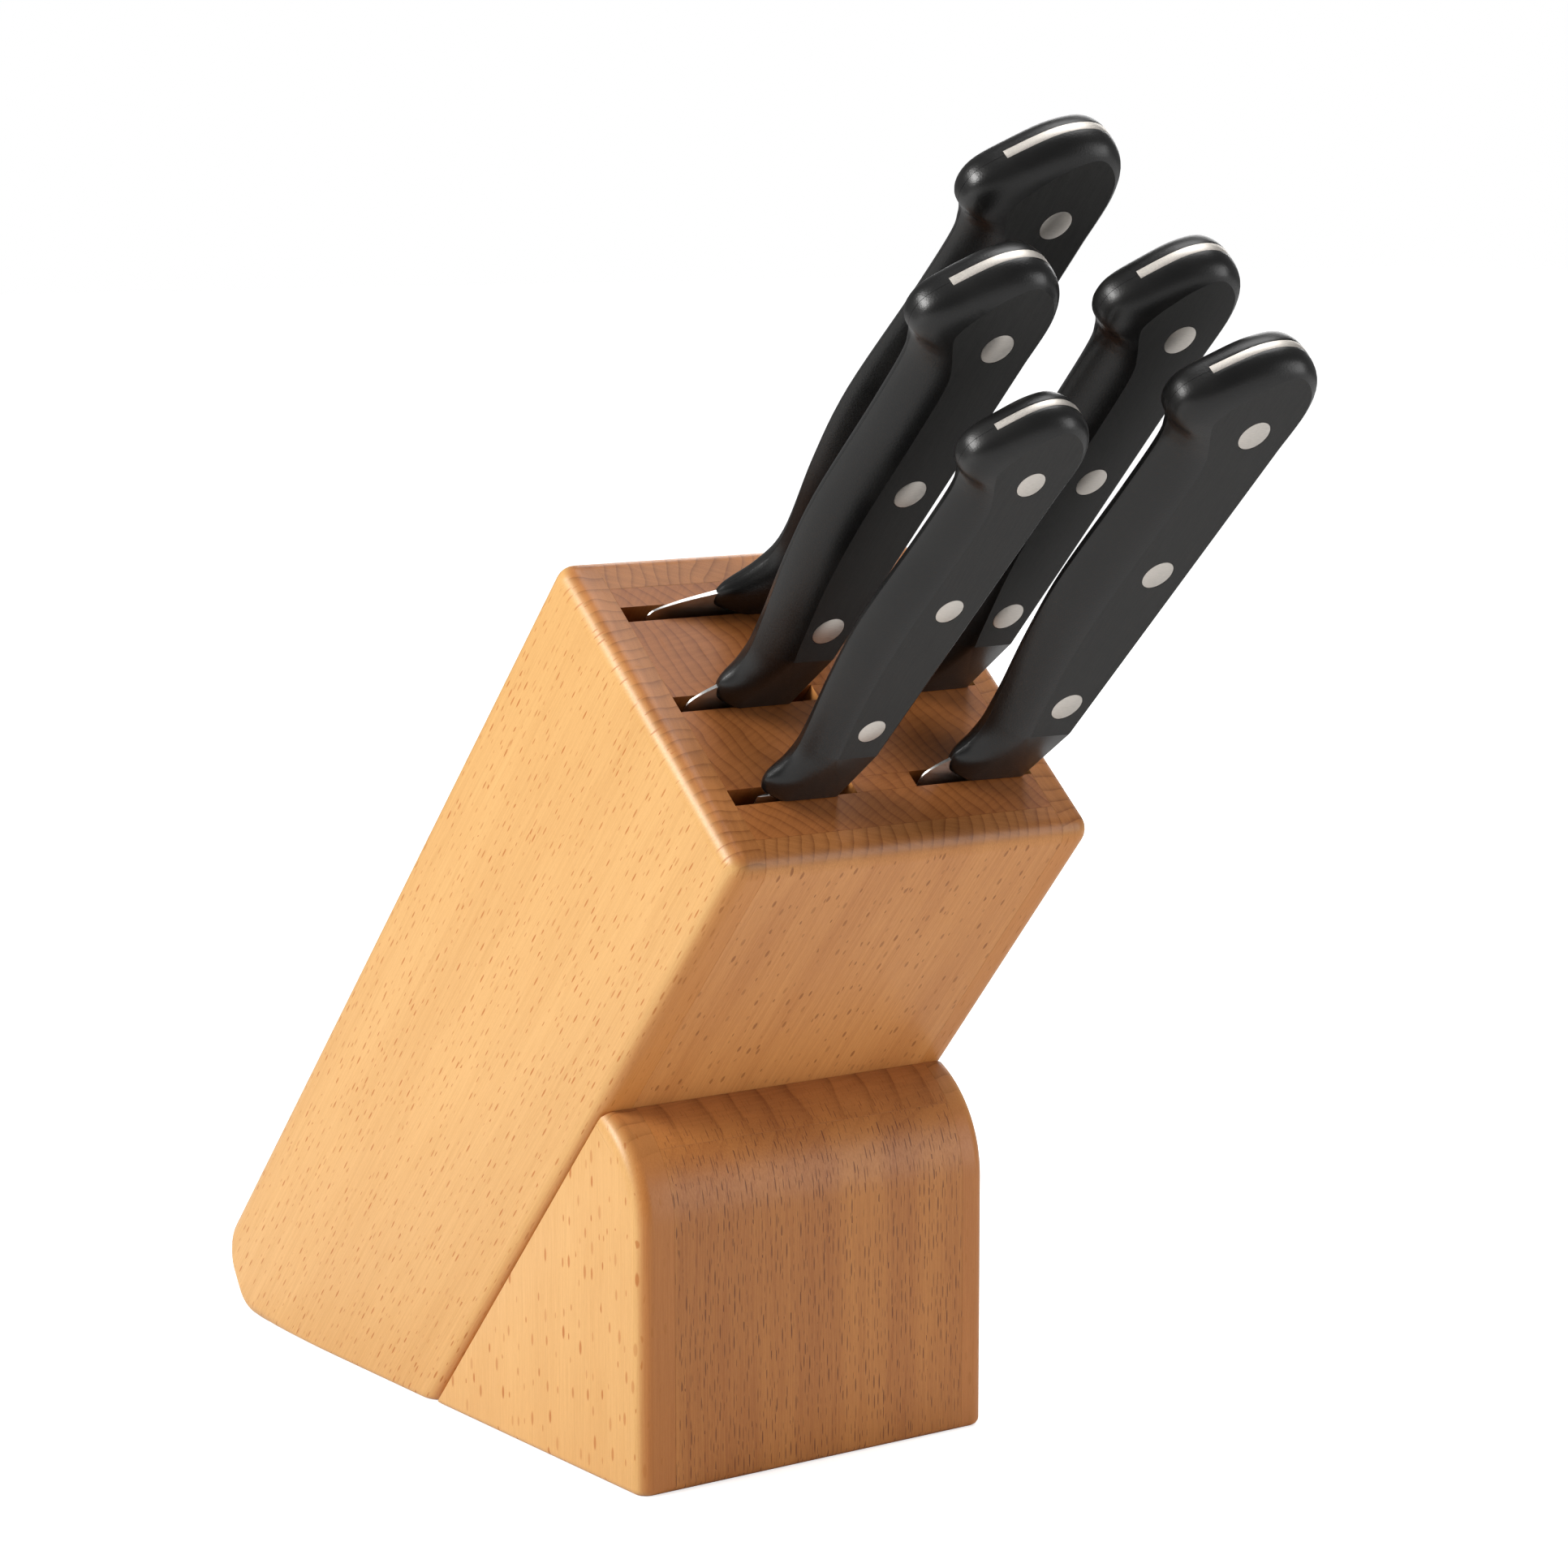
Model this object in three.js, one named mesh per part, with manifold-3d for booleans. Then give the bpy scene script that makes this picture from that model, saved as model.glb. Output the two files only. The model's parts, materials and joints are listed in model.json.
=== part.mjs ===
// A beech knife block that leans forward over its own foot, with five riveted kitchen knives in it.
// Millimetres. X runs to the right, Y to the back, Z up. The origin is the middle of the base.
import * as THREE from "three";
import { mergeVertices } from "three/addons/utils/BufferGeometryUtils.js";
import Module from "manifold-3d";

const wasm = await Module();
wasm.setup();

const degrees = THREE.MathUtils.degToRad;

// ---------------------------------------------------------------- block

const TILT = degrees(41); // the slots lean forward by this much from upright
const FRONT_EDGE_HEIGHT = 135; // of the top face's front edge above the table
const FOOT_BASE_DEPTH = 82; // from the foot's front face to the block, along the table
const BASE_DEPTH = 171; // from the foot's front face to the end of the block's underside
const HEEL_FACET_HEIGHT = 15.5; // of the flat that blunts the block's lowest back corner
const EDGE_RADIUS = 4; // round on the block's long edges
const TOP_EDGE_RADIUS = 4.6;
const HEEL_RADIUS = 8;
const BELOW_TABLE = 12; // how far an outline runs past the table before the underside is sawn off

// Boards, from the front face to the back face, square to the slots.
const FRONT_BOARD = 7;
const FRONT_LAMELLA = 9;
const MIDDLE_LAMELLA = 21;
const REAR_CORE_LAMELLA = 20.8;
const REAR_LAMELLA = 5.2;
const BACK_BOARD = 9.5;
const SLOT_WIDTH = 4;
const CHEEK = 8; // side board
const CORE_STOCK_WIDTH = 74; // between the cheeks
const LEAST_LAND = 6; // wood left between two slots of one row
const GLUE_GAP = 0.3; // between two glued boards
const DEEP = 400; // past every board, for cutting

// ---------------------------------------------------------------- foot

const FOOT_WIDTH_SETBACK = 0.5; // on each side of the block
const FOOT_FRONT_BOARD = 5.5;
const FOOT_LEFT_CHEEK = 8.5;
const FOOT_RIGHT_CHEEK = 6.5;
const FOOT_ARC_RADIUS = 26; // of the curve from the front face up to the block
const FOOT_ARC_START = 55; // height where that curve begins
const FOOT_EDGE_RADIUS = 3.5;
const LEAST_ARC_STEP = 1.3; // of the steps along that curve, against the edge round

// ---------------------------------------------------------------- knives

const REST_GAP = 0.3; // between the end of a handle and the block's top face
const PARTING_GAP = 0.3; // between the two scales of a handle, and between a scale and the tang
const RIVET_GAP = 0.15; // round each rivet
const SCALE_END_HALF_THICKNESS = 2.7; // of the thin end of a handle, next to the blade
const TANG_INSET = 9; // from the belly of the handle to the tang's inner edge

// Each knife, in three lines. Where it stands: its row, the cheek its slot begins at, and how many
// degrees it leans in the slot. Its blade: the kind, the length, the height at the heel, the
// thickness, and the free slot past the edge and past the spine. Its handle: the length, half the
// thickness, the widths at the blade, at the butt and at the guard against the outline below, and
// the radius of its rivets.
const KNIVES = [
  {
    name: "chefs_knife", row: "rear", side: "left", lean: 0,
    blade: "chef", length: 200, height: 46.8, thickness: 2, edgeGap: 5.9, spineGap: 4.3,
    handle: 128.5, half: 6.2, low: 1.34, high: 1.08, guard: 1.24, rivet: 3.5,
  },
  {
    name: "slicing_knife", row: "middle", side: "left", lean: 0.3,
    blade: "plain", length: 180, height: 24.6, thickness: 2, edgeGap: 2.4, spineGap: 7,
    handle: 119, half: 6.2, low: 0.94, high: 0.94, guard: 1, rivet: 3.5,
  },
  {
    name: "bread_knife", row: "middle", side: "right", lean: -0.4,
    blade: "bread", length: 195, height: 27.5, thickness: 2, edgeGap: 4.8, spineGap: 1.7,
    handle: 120, half: 6.2, low: 0.92, high: 0.92, guard: 1, rivet: 3.5,
  },
  {
    name: "paring_knife", row: "front", side: "left", lean: 1.1,
    blade: "plain", length: 90, height: 18.5, thickness: 1.6, edgeGap: 6.5, spineGap: 4.5,
    handle: 105.3, half: 5.3, low: 0.93, high: 0.77, guard: 1.02, rivet: 3,
  },
  {
    name: "utility_knife", row: "front", side: "right", lean: 1.8,
    blade: "plain", length: 130, height: 25.5, thickness: 1.8, edgeGap: 2, spineGap: 2,
    handle: 118.2, half: 6.2, low: 1, high: 1, guard: 1, rivet: 3.5,
  },
];

// The side view of a handle 118.2 long, as [across, along] with the spine's foot at the origin:
// across is negative towards the belly, along runs from the blade to the butt. OUTLINE is the edge
// where the two scales meet, and FLAT is the edge of the flat side that carries the rivets. Their
// points go round in step: butt, nose, belly, guard.
const MASTER_LENGTH = 118.2;
const OUTLINE = [
  [6.6, 96], [7.6, 106], [5.6, 113.8], [-0.4, 117.9], [-8.5, 117], [-16.5, 112.4], [-21.9, 107.6],
  [-23.1, 103.8], [-21.5, 99], [-19.6, 92], [-20.4, 78], [-22.2, 55], [-20.8, 38], [-18.1, 21],
  [-17.4, 13.5], [-18.6, 9], [-20.7, 5.2], [-19.8, 1.6], [-17, 0],
];
const FLAT = [
  [5.1, 96], [5.8, 105.4], [3.9, 111.4], [-1.4, 115.4], [-7.3, 114.3], [-11.6, 110.5], [-14.5, 107.3],
  [-15.3, 104.9], [-12.9, 101], [-10.6, 92], [-11.2, 78], [-13.3, 55], [-13.1, 38], [-11.2, 21],
  [-10.6, 16.4], [-11.6, 10], [-13.2, 5.5], [-14.4, 1.8], [-14.2, 0],
];
const STEPS_PER_POINT = 2; // of the curve between two neighbouring points
const ROUND_STEPS = 3; // from the parting line up to the flat side
const SPINE_ROUND = 1.5; // width of the round between the spine and the flat side
const CREASE = 16.4; // along the handle, where the flat side ends and the thin end begins
const TANG_TURN = 5; // the point of OUTLINE where the tang leaves the butt's edge
const RIVET_SIDES = 20;
const RIVETS = [[-5.9, 25], [-4.8, 62.5], [-3.6, 100]];
const BUTT_WIDTH_FROM = 0.87; // share of the handle's length where the width at the butt is reached

// The tang follows OUTLINE along the spine and the butt, then runs back inside the belly.
const TANG_SHOULDER = 3; // step from the butt's edge in to the tang's inner edge
const TANG_BACK = [98, 60, 22]; // places along the handle on that inner edge
const BELLY_REACH = 26.6; // across the handle at the butt, from the spine to the belly
const GUARD = [-19.6, 3.4]; // where the blade's heel meets the handle
const COLLAR = 1; // how far the blade's full height runs on past the guard
const COLLAR_STEP = 2; // from the tang's inner edge to the end of that full height
const HEEL_RISE = 1; // from the cutting edge's end up to the heel's corner
const OPEN = 4; // how far the tang's slot in the scales runs past the handle

// The side view of each kind of blade, as [share of its height, share of its length]: the spine's
// curve down to the tip, then the edge's curve back up to where it runs straight to the heel.
const BLADE_CURVES = {
  chef: {
    spine: [[0, 0.45], [0.01, 0.65], [0.06, 0.83], [0.19, 1]],
    edge: [[0.19, 1], [0.5, 0.9], [0.78, 0.74], [0.93, 0.52], [1, 0.22]],
  },
  plain: {
    spine: [[0, 0.6], [0.02, 0.8], [0.2, 1]],
    edge: [[0.2, 1], [0.56, 0.88], [0.8, 0.68], [0.94, 0.42], [1, 0.15]],
  },
  bread: {
    spine: [[0, 0.78], [0.05, 0.9], [0.42, 1]],
    edge: [[0.42, 1], [0.72, 0.985], [0.9, 0.95], [0.94, 0.93]],
  },
};
const SCALLOPS = 18; // hollows along the bread knife's edge
const SCALLOP_DEPTH = 0.9;
const SCALLOPS_END = 8; // from the last hollow to the handle
const STEPS_PER_SCALLOP = 6;

// ---------------------------------------------------------------- materials

const finish = (color, roughness, metalness) => {
  return new THREE.MeshStandardMaterial({ color, roughness, metalness });
};
const BEECH_SIDE = finish(0xdda86c, 0.5, 0);
const BEECH_FRONT = finish(0xb98354, 0.5, 0);
const BEECH_END = finish(0x9c6238, 0.45, 0);
const HANDLE_BLACK = finish(0x17181a, 0.42, 0);
const BLADE_STEEL = finish(0xb9b6ae, 0.28, 1);
const RIVET_STEEL = finish(0xa9a6a0, 0.38, 1);

// ---------------------------------------------------------------- solids

// A manifold-3d solid from a closed geometry.
function solidOf(geometry) {
  const bare = geometry.index ? geometry.toNonIndexed() : geometry.clone();
  bare.deleteAttribute("normal");
  bare.deleteAttribute("uv");
  const merged = mergeVertices(bare, 1e-4);
  return new wasm.Manifold(
    new wasm.Mesh({
      numProp: 3,
      vertProperties: merged.attributes.position.array,
      triVerts: new Uint32Array(merged.index.array),
    }),
  );
}

function geometryOf(solid) {
  const mesh = solid.getMesh();
  const geometry = new THREE.BufferGeometry();
  geometry.setAttribute("position", new THREE.BufferAttribute(new Float32Array(mesh.vertProperties), 3));
  geometry.setIndex(new THREE.BufferAttribute(new Uint32Array(mesh.triVerts), 1));
  geometry.computeVertexNormals();
  return geometry;
}

// A box between two corners.
function boxBetween(low, high) {
  const size = high.map((value, i) => value - low[i]);
  const box = new THREE.BoxGeometry(...size);
  box.translate(...low.map((value, i) => value + size[i] / 2));
  return solidOf(box);
}

// The corners of a polygon, each rounded to its own radius (0 leaves it sharp).
function roundedCorners(corners, radii, steps = 5) {
  const points = [];
  corners.forEach((corner, i) => {
    if (!radii[i]) {
      points.push(corner);
      return;
    }
    const before = corners[(i + corners.length - 1) % corners.length].clone().sub(corner).normalize();
    const after = corners[(i + 1) % corners.length].clone().sub(corner).normalize();
    const half = Math.acos(before.dot(after)) / 2;
    const middle = before.clone().add(after).normalize();
    const centre = corner.clone().addScaledVector(middle, radii[i] / Math.sin(half));
    const start = corner.clone().addScaledVector(before, radii[i] / Math.tan(half)).sub(centre);
    const sweep = (Math.PI - 2 * half) * Math.sign(before.cross(after) * -1);
    for (let k = 0; k <= steps; k += 1) {
      points.push(start.clone().rotateAround(new THREE.Vector2(), (sweep * k) / steps).add(centre));
    }
  });
  return points;
}

// A board's envelope: an outline in the (Y, Z) plane, carried along X with its rim rounded and
// centred on X = 0.
function roundedPrism(points, width, radius) {
  const geometry = new THREE.ExtrudeGeometry(new THREE.Shape(points), {
    depth: width - 2 * radius,
    bevelThickness: radius,
    bevelSize: radius,
    bevelOffset: -radius,
    bevelSegments: 4,
    steps: 1,
  });
  geometry.translate(0, 0, radius - width / 2);
  geometry.applyMatrix4(new THREE.Matrix4().set(0, 0, 1, 0, 1, 0, 0, 0, 0, 1, 0, 0, 0, 0, 0, 1));
  return solidOf(geometry);
}

// ---------------------------------------------------------------- layout

// The block is laid out in its own leaning frame: X across, Y from the front face to the back face,
// Z up along the slots from the top face. The group that holds it turns that frame by TILT about
// the top face's front edge.
const leaning = new THREE.Group();
leaning.position.set(0, FOOT_BASE_DEPTH - FRONT_EDGE_HEIGHT * Math.tan(TILT), FRONT_EDGE_HEIGHT);
leaning.rotation.x = TILT;
leaning.updateMatrix();

// The leaning frame's Z at a depth, where the height above the table is as given.
const levelAt = (depth, height = 0) => {
  return (height - FRONT_EDGE_HEIGHT - depth * Math.sin(TILT)) / Math.cos(TILT);
};

// Where each board and each slot row begins, counted from the front face.
const layers = {};
let reached = 0;
for (const [name, thickness] of [
  ["front_board", FRONT_BOARD],
  ["front_lamella", FRONT_LAMELLA],
  ["front", SLOT_WIDTH],
  ["middle_lamella", MIDDLE_LAMELLA],
  ["middle", SLOT_WIDTH],
  ["rear_core_lamella", REAR_CORE_LAMELLA],
  ["rear", SLOT_WIDTH],
  ["rear_lamella", REAR_LAMELLA],
  ["back_board", BACK_BOARD],
]) {
  layers[name] = [reached, reached + thickness];
  reached += thickness;
}
const BLOCK_DEPTH = reached;

const slotLength = (knife) => knife.edgeGap + knife.height + knife.spineGap;
const rowKnives = (row) => KNIVES.filter((knife) => knife.row === row);
const rowNeeds = (row) => {
  const knives = rowKnives(row);
  return knives.reduce((sum, knife) => sum + slotLength(knife), (knives.length - 1) * LEAST_LAND);
};
const CORE_WIDTH = Math.max(
  CORE_STOCK_WIDTH,
  rowNeeds("front"),
  rowNeeds("middle"),
  rowNeeds("rear") + LEAST_LAND,
);
const BLOCK_WIDTH = CORE_WIDTH + 2 * CHEEK;

// X where a knife's slot begins on the left and ends on the right.
function slotSpan(knife) {
  const edge = CORE_WIDTH / 2;
  return knife.side === "left" ? [-edge, -edge + slotLength(knife)] : [edge - slotLength(knife), edge];
}
const spineX = (knife) => slotSpan(knife)[1] - knife.spineGap;

// ---------------------------------------------------------------- block pieces

function blockEnvelope() {
  const footDepth = (BASE_DEPTH - FOOT_BASE_DEPTH) * Math.cos(TILT);
  const facetFoot = new THREE.Vector2(footDepth, levelAt(footDepth));
  const facetHead = new THREE.Vector2(BLOCK_DEPTH, levelAt(BLOCK_DEPTH, HEEL_FACET_HEIGHT));
  const pastTable = facetFoot.clone().sub(facetHead).setLength(BELOW_TABLE).add(facetFoot);
  const corners = [
    new THREE.Vector2(0, 0),
    new THREE.Vector2(0, levelAt(0, -BELOW_TABLE)),
    pastTable,
    facetHead,
    new THREE.Vector2(BLOCK_DEPTH, 0),
  ];
  const radii = [TOP_EDGE_RADIUS, 0, 0, HEEL_RADIUS, TOP_EDGE_RADIUS];
  return roundedPrism(roundedCorners(corners, radii), BLOCK_WIDTH, EDGE_RADIUS);
}

// The space above the table, in the block's leaning frame.
function aboveTable() {
  const reach = 2 * DEEP;
  const room = new THREE.BoxGeometry(reach, reach, reach);
  room.translate(0, 0, reach / 2);
  room.applyMatrix4(leaning.matrix.clone().invert());
  return solidOf(room);
}

const sawn = blockEnvelope().intersect(aboveTable());

// A board of the block: the part of its envelope between two X values and two depths, less half a
// glue gap at each face that touches another board.
function blockPiece(name, left, right, front, back, material) {
  const half = GLUE_GAP / 2;
  const outer = BLOCK_WIDTH / 2;
  const low = [left > -outer ? left + half : -DEEP, front > 0 ? front + half : -DEEP, -DEEP];
  const high = [right < outer ? right - half : DEEP, back < BLOCK_DEPTH ? back - half : DEEP, DEEP];
  const mesh = new THREE.Mesh(geometryOf(sawn.intersect(boxBetween(low, high))), material);
  mesh.name = name;
  leaning.add(mesh);
}

function makeBlock() {
  const core = CORE_WIDTH / 2;
  const outer = BLOCK_WIDTH / 2;
  blockPiece("block_left_cheek", -outer, -core, 0, BLOCK_DEPTH, BEECH_SIDE);
  blockPiece("block_right_cheek", core, outer, 0, BLOCK_DEPTH, BEECH_SIDE);
  blockPiece("block_front_board", -core, core, ...layers.front_board, BEECH_FRONT);
  for (const name of ["front_lamella", "middle_lamella", "rear_core_lamella", "rear_lamella"]) {
    blockPiece(`block_${name}`, -core, core, ...layers[name], BEECH_END);
  }
  blockPiece("block_back_board", -core, core, ...layers.back_board, BEECH_SIDE);
  // What fills a row beside its slots: between two slots, or between one slot and the right cheek.
  for (const row of ["front", "middle", "rear"]) {
    const left = rowKnives(row).find((knife) => knife.side === "left");
    const right = rowKnives(row).find((knife) => knife.side === "right");
    const end = right ? slotSpan(right)[0] : core;
    blockPiece(`block_${row}_spacer`, slotSpan(left)[1], end, ...layers[row], BEECH_END);
  }
}

// ---------------------------------------------------------------- foot pieces

// The foot's outline from the side, from its front face and the table. Its back lies along the block.
function footEnvelope() {
  const back = FOOT_BASE_DEPTH - GLUE_GAP / Math.cos(TILT);
  const slope = Math.tan(TILT);
  const centre = new THREE.Vector2(FOOT_ARC_RADIUS, FOOT_ARC_START);
  // The curve's angle where it meets the block: there the arc's point lies on the block's face.
  const room = (back - slope * centre.y - centre.x) * Math.cos(TILT);
  const meeting = TILT + Math.acos(room / FOOT_ARC_RADIUS);
  const sweep = Math.PI - meeting;
  const points = [
    new THREE.Vector2(0, -BELOW_TABLE),
    new THREE.Vector2(back + BELOW_TABLE * slope, -BELOW_TABLE),
  ];
  // Each step along the curve is longer than the edge round, which shortens it.
  const steps = Math.max(3, Math.floor((sweep * FOOT_ARC_RADIUS) / (LEAST_ARC_STEP * FOOT_EDGE_RADIUS)));
  for (let k = 0; k <= steps; k += 1) {
    const angle = meeting + (sweep * k) / steps;
    const spoke = new THREE.Vector2(Math.cos(angle), Math.sin(angle));
    points.push(spoke.multiplyScalar(FOOT_ARC_RADIUS).add(centre));
  }
  return roundedPrism(points, BLOCK_WIDTH - 2 * FOOT_WIDTH_SETBACK, FOOT_EDGE_RADIUS);
}

function makeFoot() {
  const group = new THREE.Group();
  const outer = BLOCK_WIDTH / 2 - FOOT_WIDTH_SETBACK;
  const half = GLUE_GAP / 2;
  const left = -outer + FOOT_LEFT_CHEEK;
  const right = outer - FOOT_RIGHT_CHEEK;
  const envelope = footEnvelope();
  const add = (name, [fromX, toX], [fromY, toY], material) => {
    const solid = envelope.intersect(boxBetween([fromX, fromY, 0], [toX, toY, DEEP]));
    const mesh = new THREE.Mesh(geometryOf(solid), material);
    mesh.name = name;
    group.add(mesh);
  };
  add("foot_left_cheek", [-DEEP, left - half], [-DEEP, DEEP], BEECH_SIDE);
  add("foot_right_cheek", [right + half, DEEP], [-DEEP, DEEP], BEECH_SIDE);
  add("foot_front_board", [left + half, right - half], [-DEEP, FOOT_FRONT_BOARD - half], BEECH_FRONT);
  add("foot_core", [left + half, right - half], [FOOT_FRONT_BOARD + half, DEEP], BEECH_FRONT);
  return group;
}

// ---------------------------------------------------------------- knives

// A point of a handle, worked out from the master outline by its length and by its width there.
function handlePoint(knife, [across, along]) {
  const share = along / MASTER_LENGTH;
  const width = knife.low + (knife.high - knife.low) * Math.min(1, share / BUTT_WIDTH_FROM);
  const guard = across < 0 ? 1 + (knife.guard - 1) * Math.max(0, 1 - along / CREASE) : 1;
  return new THREE.Vector2(across < 0 ? across * width * guard : across, share * knife.handle);
}

const toVector = ([x, y]) => new THREE.Vector2(x, y);

// A smooth run through the points, with the same number of steps between each two.
function smoothRun(points) {
  const curve = new THREE.SplineCurve(points);
  const count = (points.length - 1) * STEPS_PER_POINT;
  return Array.from({ length: count + 1 }, (_, i) => curve.getPoint(i / count));
}

// The two closed loops of a scale, in step: its outline and the edge of its flat side.
function handleLoops(knife) {
  const crease = (CREASE / MASTER_LENGTH) * knife.handle;
  const spineTop = handlePoint(knife, OUTLINE[0]);
  const onSpine = (along) => new THREE.Vector2((spineTop.x * along) / spineTop.y, along);
  const inset = (point) => new THREE.Vector2(point.x - SPINE_ROUND, point.y);
  const outline = smoothRun(OUTLINE.map((point) => handlePoint(knife, point)));
  const flat = smoothRun(FLAT.map((point) => handlePoint(knife, point)));
  const lower = [onSpine(0), onSpine(crease)];
  return { outline: [...lower, ...outline], flat: [...lower.map(inset), ...flat], crease };
}

// Half the handle's thickness at a place along it: full behind the crease, thinner towards the blade.
function halfThickness(knife, along, crease) {
  const share = Math.min(1, along / crease);
  return SCALE_END_HALF_THICKNESS + (knife.half - SCALE_END_HALF_THICKNESS) * share;
}

// One scale as a closed shell: the parting face, rings that roll over to the flat side, and the flat side.
// It lies in X across, Y along and Z out from the middle of the knife.
function scaleSolid(knife) {
  const { outline, flat, crease } = handleLoops(knife);
  const inner = PARTING_GAP / 2;
  const count = outline.length;
  const corners = [];
  for (let ring = 0; ring <= ROUND_STEPS; ring += 1) {
    const turn = (ring / ROUND_STEPS) * (Math.PI / 2);
    for (let i = 0; i < count; i += 1) {
      const spot = outline[i].clone().lerp(flat[i], 1 - Math.cos(turn));
      const rise = halfThickness(knife, spot.y, crease) - inner;
      corners.push([spot.x, spot.y, inner + rise * Math.sin(turn)]);
    }
  }
  const faces = [];
  for (let ring = 0; ring < ROUND_STEPS; ring += 1) {
    for (let i = 0; i < count; i += 1) {
      const next = (i + 1) % count;
      const [low, high] = [ring * count, (ring + 1) * count];
      faces.push([low + i, low + next, high + next], [low + i, high + next, high + i]);
    }
  }
  for (const [a, b, c] of THREE.ShapeUtils.triangulateShape(outline, [])) {
    faces.push([a, c, b]);
  }
  for (const [a, b, c] of THREE.ShapeUtils.triangulateShape(flat, [])) {
    faces.push([ROUND_STEPS * count + a, ROUND_STEPS * count + b, ROUND_STEPS * count + c]);
  }
  const geometry = new THREE.BufferGeometry();
  geometry.setAttribute("position", new THREE.Float32BufferAttribute(corners.flat(), 3));
  geometry.setIndex(faces.flat());
  return solidOf(geometry);
}

// The tang's outline: its flush run up the spine and over the butt, and its inner run back down.
// A tang's slot is the same outline grown by the parting gap.
function tangRuns(knife, grow = 0) {
  const flush = handleLoops(knife).outline.slice(0, 3 + TANG_TURN * STEPS_PER_POINT);
  const end = flush[flush.length - 1];
  const shoulder = new THREE.Vector2(end.x - grow, end.y - TANG_SHOULDER - grow);
  const inner = TANG_BACK.map((along) => {
    const point = handlePoint(knife, [OUTLINE[0][0] - BELLY_REACH, along]);
    point.x += TANG_INSET - grow;
    return point;
  });
  return { flush, inner: [shoulder, ...inner] };
}

// A blade's two curves, and the wavy edge of a bread knife, from the handle to the tip and back.
function bladeRun(knife) {
  const { spine, edge } = BLADE_CURVES[knife.blade];
  const place = ([across, along]) => new THREE.Vector2(-across * knife.height, -along * knife.length);
  const run = [...smoothRun(spine.map(place)), ...smoothRun(edge.map(place)).slice(1)];
  if (knife.blade === "bread") {
    const start = run[run.length - 1];
    const end = new THREE.Vector2(-knife.height, -SCALLOPS_END);
    const steps = SCALLOPS * STEPS_PER_SCALLOP;
    for (let i = 1; i <= steps; i += 1) {
      const point = start.clone().lerp(end, i / steps);
      point.x += SCALLOP_DEPTH * Math.abs(Math.sin((Math.PI * i) / STEPS_PER_SCALLOP));
      run.push(point);
    }
  }
  return run;
}

// A blade and its tang in one outline, from the spine's foot down to the tip and back by the edge.
function bladeShape(knife) {
  const { flush, inner } = tangRuns(knife);
  const guard = handlePoint(knife, GUARD);
  const heel = new THREE.SplineCurve([
    new THREE.Vector2(-knife.height, -HEEL_RISE),
    new THREE.Vector2(-knife.height + HEEL_RISE, guard.y / 2),
    new THREE.Vector2(Math.max(guard.x, -knife.height) + HEEL_RISE, guard.y),
  ]);
  return new THREE.Shape([
    ...bladeRun(knife),
    ...heel.getPoints(STEPS_PER_SCALLOP),
    new THREE.Vector2(inner[inner.length - 1].x - COLLAR_STEP, guard.y + COLLAR),
    ...[...inner].reverse(),
    ...[...flush].reverse(),
  ]);
}

// A flat piece of an outline, as thick as given, centred on the knife's middle plane.
function plate(shape, thickness) {
  const geometry = new THREE.ExtrudeGeometry(shape, { depth: thickness, bevelEnabled: false });
  geometry.translate(0, 0, -thickness / 2);
  return solidOf(geometry);
}

// The slot that a tang needs in the scales, open wherever the tang lies flush.
function tangRoom(knife) {
  const { flush, inner } = tangRuns(knife, PARTING_GAP);
  const collar = handlePoint(knife, GUARD).y + COLLAR + PARTING_GAP;
  const [outside, top] = [flush[2].x + OPEN, knife.handle + OPEN];
  const shape = new THREE.Shape([
    new THREE.Vector2(outside, -OPEN),
    new THREE.Vector2(outside, top),
    new THREE.Vector2(inner[0].x, top),
    ...inner,
    new THREE.Vector2(inner[inner.length - 1].x - COLLAR_STEP, collar),
    new THREE.Vector2(-knife.height - OPEN, collar),
    new THREE.Vector2(-knife.height - OPEN, -OPEN),
  ]);
  return plate(shape, knife.thickness + PARTING_GAP);
}

// A rivet, flush with both flat sides, or with a gap the hole that it goes through.
function rivetSolid(knife, place, gap = 0) {
  const length = 2 * knife.half + (gap > 0 ? OPEN : 0);
  const pin = new THREE.CylinderGeometry(knife.rivet + gap, knife.rivet + gap, length, RIVET_SIDES);
  pin.rotateX(Math.PI / 2);
  pin.translate(place.x, place.y, 0);
  return solidOf(pin);
}

function makeKnife(knife) {
  const group = new THREE.Group();
  const add = (name, solid, material) => {
    const mesh = new THREE.Mesh(geometryOf(solid), material);
    mesh.name = `${knife.name}_${name}`;
    group.add(mesh);
  };
  const places = RIVETS.map((spot) => handlePoint(knife, spot));
  const holes = places.map((place) => rivetSolid(knife, place, RIVET_GAP));
  const cutHoles = (solid) => holes.reduce((left, hole) => left.subtract(hole), solid);

  add("blade", cutHoles(plate(bladeShape(knife), knife.thickness)), BLADE_STEEL);
  const scale = cutHoles(scaleSolid(knife).subtract(tangRoom(knife)));
  add("front_scale", scale, HANDLE_BLACK);
  add("back_scale", scale.mirror([0, 0, 1]), HANDLE_BLACK);
  places.forEach((place, i) => add(`rivet_${i + 1}`, rivetSolid(knife, place), RIVET_STEEL));

  // The knife's plane is turned to stand along the slots, with its front scale to the front.
  const upright = new THREE.Group();
  upright.rotation.x = Math.PI / 2;
  upright.add(group);
  const placed = new THREE.Group();
  placed.rotation.y = degrees(knife.lean);
  placed.position.set(spineX(knife), (layers[knife.row][0] + layers[knife.row][1]) / 2, REST_GAP);
  placed.add(upright);
  return placed;
}

// ---------------------------------------------------------------- assembly

makeBlock();
KNIVES.forEach((knife) => leaning.add(makeKnife(knife)));

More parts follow.
